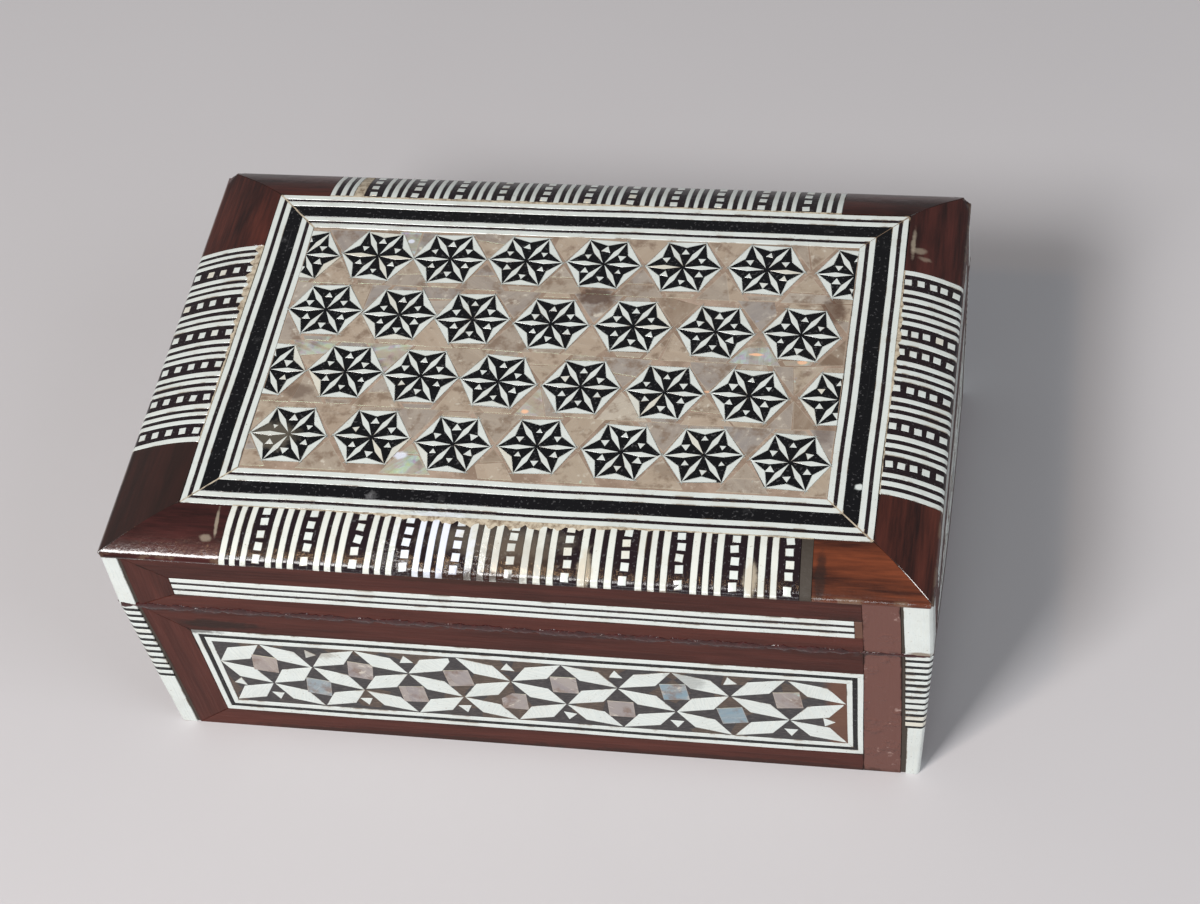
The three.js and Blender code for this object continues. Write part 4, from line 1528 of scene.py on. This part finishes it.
class INLAIDBOX_OT_corners(bpy.types.Operator):
    """Makes the strips that wrap the corners: striped above plain bone on the base, and bone
    on the lid"""

    bl_idname = "inlaid_box.make_corners"
    bl_label = "Corner strips"

    def execute(self, context):
        for number, (side, corner) in enumerate(CORNER_AFTER.items()):
            corner_strips(side, corner, number, context.scene.inlaid_box_sizes)
        return {"FINISHED"}


def edge_putty(side, number):
    """The cream putty between a striped band and the frame, an uneven line that swells at
    some places: its width follows slow sines and a hump of its own for each side."""
    place = bevel_face(side)
    depth = FRAME_EDGE[side]
    hump, spread, height = EDGE_PUTTY[side]

    def along_edge(u, v, lift, sink=0.0):
        width = 0.12 + height * np.exp(-(((u - hump) / spread) ** 2))
        width = width * (1 + 0.3 * np.sin(1.9 * u + number) + 0.2 * np.sin(4.3 * u))
        return place(u, depth - 0.03 - (1 - v) * width, lift, sink)

    made = strips(along_edge, BAND_ENDS[side], (0.0, 1.0), (160, 1), rim=0.02,
                  fade=(0.1, 0.1), sink=0.4, lift=0.02, seed=number, tone=0.15)
    make_piece(f"bevel_edge_putty_{side}", [made], "putty")


def wooden_corners():
    """The eight mitred pieces of wood, two at each corner. Each ends on the diagonal to the
    neighbouring side, and lower down on the small cut of the corner."""
    for number, side in enumerate(SIDES):
        depth = FRAME_EDGE[side]
        for way, neighbour in zip((-1, 1), neighbours(side)):
            reach = FRAME_EDGE[neighbour]
            blunt = CORNER_CUTS[CORNER_AFTER[side if way > 0 else neighbour]]

            def far_end(v):
                inward = crowded(v, depth)
                diagonal = SPAN[side] - reach * inward / depth
                cut = SPAN[side] - blunt + inward
                return np.minimum(diagonal, cut) - 0.04

            def bands(u, v, lift, sink=0.0):
                return bevel_face(side)(u, crowded(v, depth), lift, sink)

            near = abs(BAND_ENDS[side][0 if way < 0 else 1]) + 0.04
            ends = (lambda v: -far_end(v), -near) if way < 0 else (near, far_end)
            tone = WARM_CORNERS.get((side, neighbour), 0.1 + 0.06 * number)
            made = strips(
                bands, ends, (0.0, depth - 0.05), (14, 16), sink=BEVEL_LIP,
                fade=(0.5, 0.4), rim=0.06, seed=120 + 3 * number + way, tone=tone, gloss=1.0,
                paint=1.0 if (side, neighbour) == DARK_CORNER else 0.0,
            )
            make_piece(f"bevel_corner_{side}_at_{neighbour}", [made],
                       "bevel_wood",
                       [f"bevel_wood_{side}_at_{neighbour}"])


def striped_band(side, number, sizes):
    """Makes one side's striped band: strips of bone, black wood and putty whose edges lean a
    little, rows of bone squares on the wide black ones, and the putty at its upper edge."""
    widths = {"w": sizes.stripe_bone / MM, "b": sizes.stripe_black / MM,
              "c": sizes.stripe_checker / MM, "p": sizes.stripe_putty / MM}
    finishes = {"w": "bone", "b": "black", "c": "black", "p": "putty"}
    random = np.random.default_rng(80 + number)
    place = bevel_face(side)
    depth = FRAME_EDGE[side]

    def bands(u, v, lift, sink=0.0):
        return place(u, crowded(v, depth), lift, sink)

    kinds = np.array(list(BAND_ORDER[side]))
    size = np.array([widths[kind] for kind in kinds])
    size = size * random.uniform(0.95, 1.05, len(size))
    if side == "front":
        size = size * np.repeat(GROUP_WIDTHS, 6)[:len(size)]
    else:
        size = size * np.where(kinds == "w", PLAIN_BONE_SHARE, 1.0)
    span = BAND_ENDS[side]
    edges = span[0] + np.append(0, np.cumsum(size)) * (span[1] - span[0]) / size.sum()
    lean = random.normal(0, 0.006, len(edges))
    for finish in ("bone", "black", "putty"):
        chosen = np.isin(kinds, [kind for kind in finishes if finishes[kind] == finish])
        if not chosen.any():
            continue
        low_end, high_end = edges[:-1][chosen, None], edges[1:][chosen, None]
        low_lean, high_lean = lean[:-1][chosen, None], lean[1:][chosen, None]
        made = strips(
            bands,
            (lambda v: low_end + low_lean * v + LINE_JOINT,
             lambda v: high_end + high_lean * v - LINE_JOINT),
            (np.zeros(len(low_end)), np.full(len(low_end), depth - 0.05)), (0, 12),
            fade=(0.14, 0.3), sink=BEVEL_LIP, crosswise=True, seed=90 + number,
            gloss=0.85, lift=-0.03 if finish != "bone" else 0.0,
            tone={"black": 0.9, "putty": 1.0 if side == "front" else 0.1,
                  "bone": BAND_TONES[side]}[finish],
        )
        make_piece(f"bevel_{finish}_stripes_{side}", [made], finish,
                   [f"bevel_stripes_{side}"] if finish == "bone" else [])
    middles = ((edges[:-1] + edges[1:]) / 2)[kinds == "c"]
    count = SQUARES_ACROSS[side]
    inward = (np.arange(count) + 0.5) * depth / count
    centres = np.stack(np.meshgrid(middles, inward), -1).reshape(-1, 2)
    half = np.array([0.5, 0.46]) * sizes.square / MM
    corners = np.array([[-1, -1], [1, -1], [1, 1], [-1, 1]])
    squares = loose(centres[:, None] + corners * half, random, 0.07, 0.05)
    made = tiles(place, squares, rim=0.04, fade=0.14, sink=0.25, lift=0.01,
                 seed=95 + number, gloss=0.8, turn=0.0)
    make_piece(f"bevel_squares_{side}", [made], "bone")
    edge_putty(side, number)


class INLAIDBOX_OT_bevel(bpy.types.Operator):
    """Makes the convex bevel of the lid: striped bands with bone squares, and glossy wood at
    the corners"""

    bl_idname = "inlaid_box.make_bevel"
    bl_label = "Striped bevel and its wooden corners"

    def execute(self, context):
        for number, side in enumerate(SIDES):
            striped_band(side, number, context.scene.inlaid_box_sizes)
        wooden_corners()
        return {"FINISHED"}


def mitre_glue():
    """The putty in the frame's four mitres, a thin plate of uneven width on each diagonal."""
    parts = []
    for number, (corner, (sign_x, sign_y)) in enumerate(CORNERS.items()):
        outer = np.array([sign_x * FRAME_HALF["front"] + FRAME_SHIFT,
                          sign_y * FRAME_HALF["right"]])
        inward = np.array([-sign_x, -sign_y]) / math.sqrt(2)
        sideways = np.array([-inward[1], inward[0]])
        random = np.random.default_rng(160 + number)
        phases = random.uniform(0, 6.28, 3)

        def place(u, v, lift, sink=0.0):
            width = 1 + 0.35 * np.sin(u * 1.7 + phases[0]) + 0.3 * np.sin(u * 4.1 + phases[1])
            across = v * width + 0.08 * np.sin(u * 2.3 + phases[2])
            point = outer + u[..., None] * inward + across[..., None] * sideways
            return top_face(point[..., 0], point[..., 1], lift, sink)

        width = MITRE_WIDTHS[corner]
        parts.append(strips(
            place, (0.1, FRAME_WIDTH * math.sqrt(2) - 0.1), (-width, width), (40, 0), rim=0.02,
            fade=(0.1, 0.05), sink=0.7, seed=170 + number, lift=TOP_LIFT - 0.01,
            tone=MITRE_TONES[corner],
        ))
    make_piece("mitre_putty", parts, "putty")


class INLAIDBOX_OT_top_frame(bpy.types.Operator):
    """Makes the mitred lines and the wide black band round the mosaic, with putty in the
    mitres"""

    bl_idname = "inlaid_box.make_top_frame"
    bl_label = "Frame round the mosaic"

    def execute(self, context):
        sizes = context.scene.inlaid_box_sizes
        bone_width = sizes.frame_bone / MM
        black_in_lines = BLACK_BAND[0] - 2 * bone_width
        band = BLACK_BAND[1] - BLACK_BAND[0]
        inner_black = FRAME_WIDTH - BLACK_BAND[1] - 2 * bone_width
        layout = (
            ("bone", bone_width), ("black", black_in_lines), ("bone", bone_width),
            ("band", band),
            ("bone", bone_width), ("black", inner_black), ("bone", bone_width),
        )
        for number, side in enumerate(SIDES):
            place = frame_face(side)
            half = FRAME_HALF[side]
            made = {"bone": [], "black": [], "band": []}
            start = 0.0
            for step, (kind, width) in enumerate(layout):
                ends = (start + LINE_JOINT, start + width - LINE_JOINT)
                made[kind].append(strips(
                    place, (lambda v: v - half + MITRE_GAP, lambda v: half - v - MITRE_GAP), ends,
                    (40, 0 if kind != "band" else 2), rim=0.04, fade=(0.3, 0.2),
                    sink=0.8, sway=0.06, seed=140 + number, lift=TOP_LIFT, gloss=0.75,
                    tone=0.9 if kind == "black" else 0.15 + 0.1 * ((step * 3 + number) % 5),
                    paint=1.0 if kind == "band" and side == "front" else 0.3,
                ))
                start += width
            outer, inner = made["bone"][:2], made["bone"][2:]
            make_piece(f"outer_bone_lines_{side}", outer, "bone",
                       [f"frame_outer_lines_{side}"])
            make_piece(f"inner_bone_lines_{side}", inner, "bone",
                       [f"frame_inner_lines_{side}"])
            make_piece(f"thin_black_lines_{side}", made["black"], "black")
            make_piece(f"wide_black_band_{side}", made["band"], "black",
                       [f"frame_black_band_{side}"])
        mitre_glue()
        return {"FINISHED"}


def clamp_to_mosaic(outlines, margin=CHIP_GAP):
    """Outlines cut back to the mosaic's ends by moving the corners that lie past them. What lies
    wholly past an end is dropped."""
    half = MOSAIC_HALF[0] - margin
    offset = outlines[..., 0] - FRAME_SHIFT
    middle = offset.mean(1)
    kept = np.abs(middle) < half + 0.6
    clamped = outlines.copy()
    clamped[..., 0] = np.clip(offset, -half, half) + FRAME_SHIFT
    span = np.ptp(clamped[..., 0], 1)
    return clamped[kept & (span > 0.25)]


def pitches(sizes):
    """The even distance between rosettes along a row of the mosaic, and between rows."""
    return 2 * MOSAIC_HALF[0] / sizes.rosettes_in_row, 2 * MOSAIC_HALF[1] / sizes.rosette_rows


def row_places(sizes, row, start):
    """Even places along a row of the mosaic, as x values, and the row's y. They start at a share
    of the pitch from the mosaic's end, and one more fits in where that share is 0."""
    pitch, row_pitch = pitches(sizes)
    total = sizes.rosettes_in_row + (start == 0)
    x = FRAME_SHIFT - MOSAIC_HALF[0] + (np.arange(total) + start) * pitch
    return x, MOSAIC_HALF[1] - (row + 0.5) * row_pitch + ROW_SHIFT


def rosette_centres(sizes):
    """The middles of the rosettes, row by row from the back. Every other row starts with half a
    rosette at the mosaic's end."""
    points = []
    for row in range(sizes.rosette_rows):
        x, y = row_places(sizes, row, 0.5 if row % 2 else 0.0)
        points.append(np.stack([x, np.full(len(x), y)], 1))
    return np.concatenate(points)


def around(shape, centres, angles):
    """A shape (corners, 2) drawn round each centre, turned by each angle."""
    cos, sin = np.cos(angles)[:, None], np.sin(angles)[:, None]
    x = shape[:, 0] * cos - shape[:, 1] * sin
    y = shape[:, 0] * sin + shape[:, 1] * cos
    return centres[:, None] + np.stack([x, y], -1)


def drifted(points):
    """Points of the mosaic moved off their even places: sideways most near the middle of a row,
    and forwards or back along a slant, by amounts that pass from row to row."""
    x, y = points[..., 0], points[..., 1]
    sideways = np.interp(y, ROW_HEIGHTS, ROW_DRIFTS) * np.clip(1 - ((x - 5) / 45) ** 2, 0, 1)
    slant = np.interp(y, ROW_HEIGHTS, ROW_TILTS) * 0.018 * (x + 5) * np.clip(1 - (x / 50) ** 4, 0, 1)
    return np.stack([x - sideways, y - slant], -1)


def rosettes(sizes):
    """Black hexagons, each with six petals, six side slivers and six small triangles."""
    random = np.random.default_rng(210)
    centres = drifted(rosette_centres(sizes))
    centres = centres + random.normal(0, 0.14, centres.shape)
    angles = random.normal(0, 0.03, len(centres))
    radius = sizes.rosette / MM
    sixth = math.pi / 3
    corners = np.stack([np.cos(np.arange(6) * sixth), np.sin(np.arange(6) * sixth)], 1)
    hexagons = clamp_to_mosaic(around(corners * (radius - 0.04), centres, angles))
    half = sizes.petal / MM / 2
    petal = np.array([[0.3, 0], [0.5 * radius, -half], [radius - 0.1, 0],
                      [0.5 * radius, half]])
    across = radius * math.cos(sixth / 2)
    sliver = np.array([[across - 0.05, 0.5 * radius - 0.2], [across - 1.0, 0.0],
                       [across - 0.05, 0.2 - 0.5 * radius]])[::-1]
    small = regular([[0.525 * radius, 0.0]], 0.74, 0.0, 3)[0]
    petals, slivers, triangles = [], [], []
    for step in range(6):
        turn = angles + step * sixth
        petals.append(around(petal, centres, turn + random.normal(0, 0.02, len(centres))))
        slivers.append(around(sliver, centres, turn + sixth / 2))
        triangles.append(around(small, centres, turn + sixth / 2))
    bones = []
    for number, (shapes, *play) in enumerate((
        (petals, 0.05, 0.01), (slivers, 0.06, 0.01), (triangles, 0.07, 0.1, 0.1),
    )):
        bones.append(tiles(
            top_face, clamp_to_mosaic(loose(np.concatenate(shapes), random, *play)),
            lift=TOP_LIFT, uneven=0.005 if number else 0.004, seed=212 + number, sink=0.3,
            gloss=0.7, fade=0.12, rim=0.035,
        ))
    black = tiles(top_face, hexagons, sink=0.5, lift=TOP_LIFT - 0.03, seed=211, tone=0.0,
                  gloss=0.7, fade=0.25)
    make_piece("rosette_grounds", [black], "black")
    make_piece("rosette_bones", bones, "bone")


def gap_shapes(x, y, way, slope, limit, random):
    """The piece that widens from a touching point, whole or in two or three parts: its half
    width is the slope times the distance from the point."""
    gap = 0.16

    def row(distance):
        return np.array([[x - slope * distance + gap, y + way * distance],
                         [x + slope * distance - gap, y + way * distance]])

    ends = row(limit)
    cut = random.uniform(2.6, 4.4)
    style = random.random()
    tip = np.array([[x, y + way * 0.45]])
    if style < 0.45:
        rows = [np.concatenate([tip, ends])]
    elif style < 0.8:
        tilt = random.uniform(-0.4, 0.4)
        lower, upper = row(cut - 0.08), row(cut + 0.1)
        lower[:, 1] += [tilt, -tilt]
        upper[:, 1] += [tilt, -tilt]
        rows = [np.concatenate([tip, lower]), np.concatenate([upper[::-1], ends])]
    else:
        share = random.uniform(0.3, 0.7)
        split = ends[0] * share + ends[1] * (1 - share)
        step = np.array([0.1, 0.0])
        rows = [np.stack([tip[0], ends[0], split - step]),
                np.stack([tip[0] + step, split + step, ends[1]])]
    # a row list goes tip, left, right: counterclockwise only when it widens downward
    return [outline if way < 0 else outline[::-1] for outline in rows]


def slip(x, y, way, heights, halves, random):
    """The low slip past a widening piece, under the flat of the next row's rosette: its half
    widths at its two heights. A few are missing."""
    if random.random() < 0.06 or heights[1] - heights[0] < 0.3:
        return []
    halves = halves * random.uniform(0.75, 1.0)
    across = halves[[0, 0, 1, 1]] * [-1, 1, 1, -1]
    outline = np.stack([x + across, y + way * heights[[0, 0, 1, 1]]], 1)
    return [outline if way > 0 else outline[::-1]]


def shell_pieces(sizes):
    """Pieces of shell in the gaps: from each point where two rosettes touch, a piece that
    widens up and one that widens down, and a low slip past the end of each."""
    random = np.random.default_rng(220)
    pitch, row_pitch = pitches(sizes)
    radius = sizes.rosette / MM
    across = radius * math.cos(math.pi / 6)
    slope = (pitch / 2 - radius / 2) / across
    middle = row_pitch / 2
    shapes = []
    for row in range(sizes.rosette_rows):
        x, y = row_places(sizes, row, 0.0 if row % 2 else 0.5)
        for way in (1, -1):
            first = row == 0 and way > 0
            last = row == sizes.rosette_rows - 1 and way < 0
            limit = MOSAIC_HALF[1] - way * y - CHIP_GAP if first or last else middle
            for place in x:
                shapes += gap_shapes(place, y, way, slope, min(limit, middle), random)
                if not first:
                    far = limit if last else row_pitch - across - 0.15
                    heights = np.array([middle + CHIP_GAP, far])
                    halves = pitch / 2 - slope * (row_pitch - heights) - CHIP_GAP
                    shapes += slip(place, y, way, heights, halves, random)
    parts = []
    for corners in (3, 4):
        chosen = [shape for shape in shapes if len(shape) == corners]
        outlines = clamp_to_mosaic(drifted(np.array(chosen)))
        outlines = loose(outlines, random, 0.06, 0.02)
        # Pieces near the painted glint places carry the glint's strength in their paint attribute, which
        # the shell material paints in rainbow colours
        middles = outlines.mean(1)
        gap = np.array(PAINTED_GLINTS)[:, :2] - middles[:, None]
        near = np.exp(-(gap**2).sum(-1) / 2.6)
        glint = (near * np.array(PAINTED_GLINTS)[:, 2]).max(1)
        tone = np.clip(random.normal(0.42, 0.2, len(outlines)), 0, 0.85)
        parts.append(tiles(
            top_face, clamp_to_mosaic(outlines), sink=0.4, lift=TOP_LIFT - 0.055, uneven=0.003,
            seed=220 + corners, rim=0.012, fade=0.22, gloss=0.6, tone=tone, paint=glint,
        ))
    make_piece("shell_pieces", parts, "shell")


class INLAIDBOX_OT_mosaic(bpy.types.Operator):
    """Makes the mosaic on top: a bed of resin, black rosettes with bone chips, and the pieces
    of shell between them"""

    bl_idname = "inlaid_box.make_mosaic"
    bl_label = "Mosaic of rosettes"

    def execute(self, context):
        sizes = context.scene.inlaid_box_sizes
        left, right = FRAME_SHIFT - MOSAIC_HALF[0], FRAME_SHIFT + MOSAIC_HALF[0]
        bed = strips(
            top_face, (left + 0.02, right - 0.02), (0.02 - MOSAIC_HALF[1], MOSAIC_HALF[1] - 0.02),
            (30, 16), sink=0.9, lift=TOP_LIFT - 0.07, seed=200,
        )
        make_piece("mosaic_bed", [bed], "resin", ["pearl_mosaic"])
        rosettes(sizes)
        shell_pieces(sizes)
        return {"FINISHED"}


def seam_bead(side, number):
    """The bead on one side: half a tube whose thickness along the side is a sum of slow and
    quick sines, thinner at the front's right end."""
    random = np.random.default_rng(240 + number)
    phases = random.uniform(0, 6.28, 4)
    low_corner = CORNER_AFTER[neighbours(side)[0]]
    high_corner = CORNER_AFTER[side]
    ends = (CORNER_CUTS[low_corner] + BEAD_END - SPAN[side],
            SPAN[side] - CORNER_CUTS[high_corner] - BEAD_END)
    fullness = BEAD_FULLNESS["front" if side == "front" else "others"]

    def place(u, v, lift, sink=0.0):
        thick = 0.5 + 0.2 * np.sin(u * 0.5 + phases[0]) + 0.25 * np.sin(u * 1.3 + phases[1])
        thick = thick + 0.16 * np.sin(u * 3.1 + phases[2]) + 0.12 * np.sin(u * 5.3)
        thin_end = np.where((u > ends[1] - 12) & (side == "front"), 0.35, 1.0)
        thick = np.clip(thick * fullness * thin_end + 0.18, 0.2, 1.0)
        swell = np.sqrt(np.clip(1 - v**2, 0, 1)) * BEAD_SWELL
        rise = np.where(sink > 0, 0.0, swell * np.sqrt(thick))
        height = (BASE_RIM + LID_BOTTOM) / 2 + v * 0.95 * thick
        return turned(side, u, sink + BEAD_GROOVE - rise, height)

    return strips(place, ends, (-1.0, 1.0), (260, 7), rim=0.0, fade=(0, 0), sink=0.3, seed=number,
                  gloss=1.0)


class INLAIDBOX_OT_seam(bpy.types.Operator):
    """Makes the bead of dark red lacquer that has run into the seam under the lid"""

    bl_idname = "inlaid_box.make_seam"
    bl_label = "Lacquer in the seam"

    def execute(self, context):
        parts = []
        for number, side in enumerate(SIDES):
            parts.append(seam_bead(side, number))
        make_piece("seam_lacquer", parts, "lacquer")
        return {"FINISHED"}


def pale_floor(scene):
    """A large plane just under the box, pale, with a faint unevenness."""
    mesh = bpy.data.meshes.new("Floor")
    ways = ((-1, -1), (1, -1), (1, 1), (-1, 1))
    corners = [(x * FLOOR_REACH, y * FLOOR_REACH, 0) for x, y in ways]
    mesh.from_pydata(corners, [], [(0, 1, 2, 3)])
    material, tree, place = new_material("Floor")
    clouds = noise(tree, place, 9.0, 4.0, 0.6)
    base = np.array(scene.inlaid_box_colours.floor)
    darker = tuple(base[:3] * 0.93) + (1.0,)
    colour = blend_of(tree, clouds, tuple(base), darker)
    dressed(material, colour, ranged(tree, clouds, 0.2, 0.8, 0.55, 0.7), clouds, 0.0001)
    mesh.materials.append(material)
    plane = bpy.data.objects.new("Floor", mesh)
    scene.collection.objects.link(plane)


def area_light(scene, name, place, size, power, colour):
    """A square area light that points at the box."""
    light = bpy.data.lights.new(name, "AREA")
    light.size = size
    light.energy = power
    light.color = colour
    lamp = bpy.data.objects.new(name, light)
    toward = np.array(LIT_POINT) - np.array(place)
    distance = math.hypot(toward[0], toward[1])
    lamp.location = place
    lamp.rotation_euler = (
        math.atan2(distance, -toward[2]), 0.0, math.atan2(toward[1], toward[0]) - math.pi / 2,
    )
    scene.collection.objects.link(lamp)


class INLAIDBOX_OT_stage(bpy.types.Operator):
    """Sets the floor, the lights and the camera"""

    bl_idname = "inlaid_box.set_stage"
    bl_label = "Floor, lights and camera"

    def execute(self, context):
        scene = context.scene
        pale_floor(scene)
        for lamp in LIGHTS:
            area_light(scene, *lamp)
        world = bpy.data.worlds.new("Studio")
        world.use_nodes = True
        background = world.node_tree.nodes["Background"]
        background.inputs["Color"].default_value = ROOM_COLOUR
        background.inputs["Strength"].default_value = ROOM_LIGHT
        scene.world = world
        scene.view_settings.view_transform = "Standard"
        camera = bpy.data.cameras.new("Camera")
        camera.sensor_width = 36.0
        camera.lens = CAMERA_LENS
        camera.clip_start = 0.01
        holder = bpy.data.objects.new("Camera", camera)
        holder.location = CAMERA_PLACE
        holder.rotation_euler = np.radians(CAMERA_TURN)
        scene.collection.objects.link(holder)
        scene.camera = holder
        return {"FINISHED"}


OPERATORS = (
    INLAIDBOX_OT_stage,
    INLAIDBOX_OT_boxes,
    INLAIDBOX_OT_veneer,
    INLAIDBOX_OT_side_panels,
    INLAIDBOX_OT_lid_lines,
    INLAIDBOX_OT_corners,
    INLAIDBOX_OT_bevel,
    INLAIDBOX_OT_top_frame,
    INLAIDBOX_OT_mosaic,
    INLAIDBOX_OT_seam,
)


class INLAIDBOX_PT_panel(bpy.types.Panel):
    """Lists the steps that make the box"""

    bl_idname = "INLAIDBOX_PT_panel"
    bl_label = "Inlaid box"
    bl_space_type = "VIEW_3D"
    bl_region_type = "UI"
    bl_category = "Inlaid box"

    def draw(self, context):
        for operator in OPERATORS:
            self.layout.operator(operator.bl_idname)
        for group in (context.scene.inlaid_box_sizes, context.scene.inlaid_box_colours):
            column = self.layout.column()
            for name in group.__annotations__:
                column.prop(group, name)


CLASSES = (INLAIDBOX_sizes, INLAIDBOX_colours, *OPERATORS, INLAIDBOX_PT_panel)


def register():
    """Registers the classes and gives the scene its two groups of settings."""
    for made in CLASSES:
        bpy.utils.register_class(made)
    bpy.types.Scene.inlaid_box_sizes = bpy.props.PointerProperty(type=INLAIDBOX_sizes)
    bpy.types.Scene.inlaid_box_colours = bpy.props.PointerProperty(type=INLAIDBOX_colours)


def unregister():
    """Takes the settings and the classes away again."""
    del bpy.types.Scene.inlaid_box_colours
    del bpy.types.Scene.inlaid_box_sizes
    for made in reversed(CLASSES):
        bpy.utils.unregister_class(made)


def main():
    """Registers the add-on and makes every piece."""
    register()
    for operator in OPERATORS:
        group, name = operator.bl_idname.split(".")
        getattr(getattr(bpy.ops, group), name)()


if __name__ == "__main__":
    main()
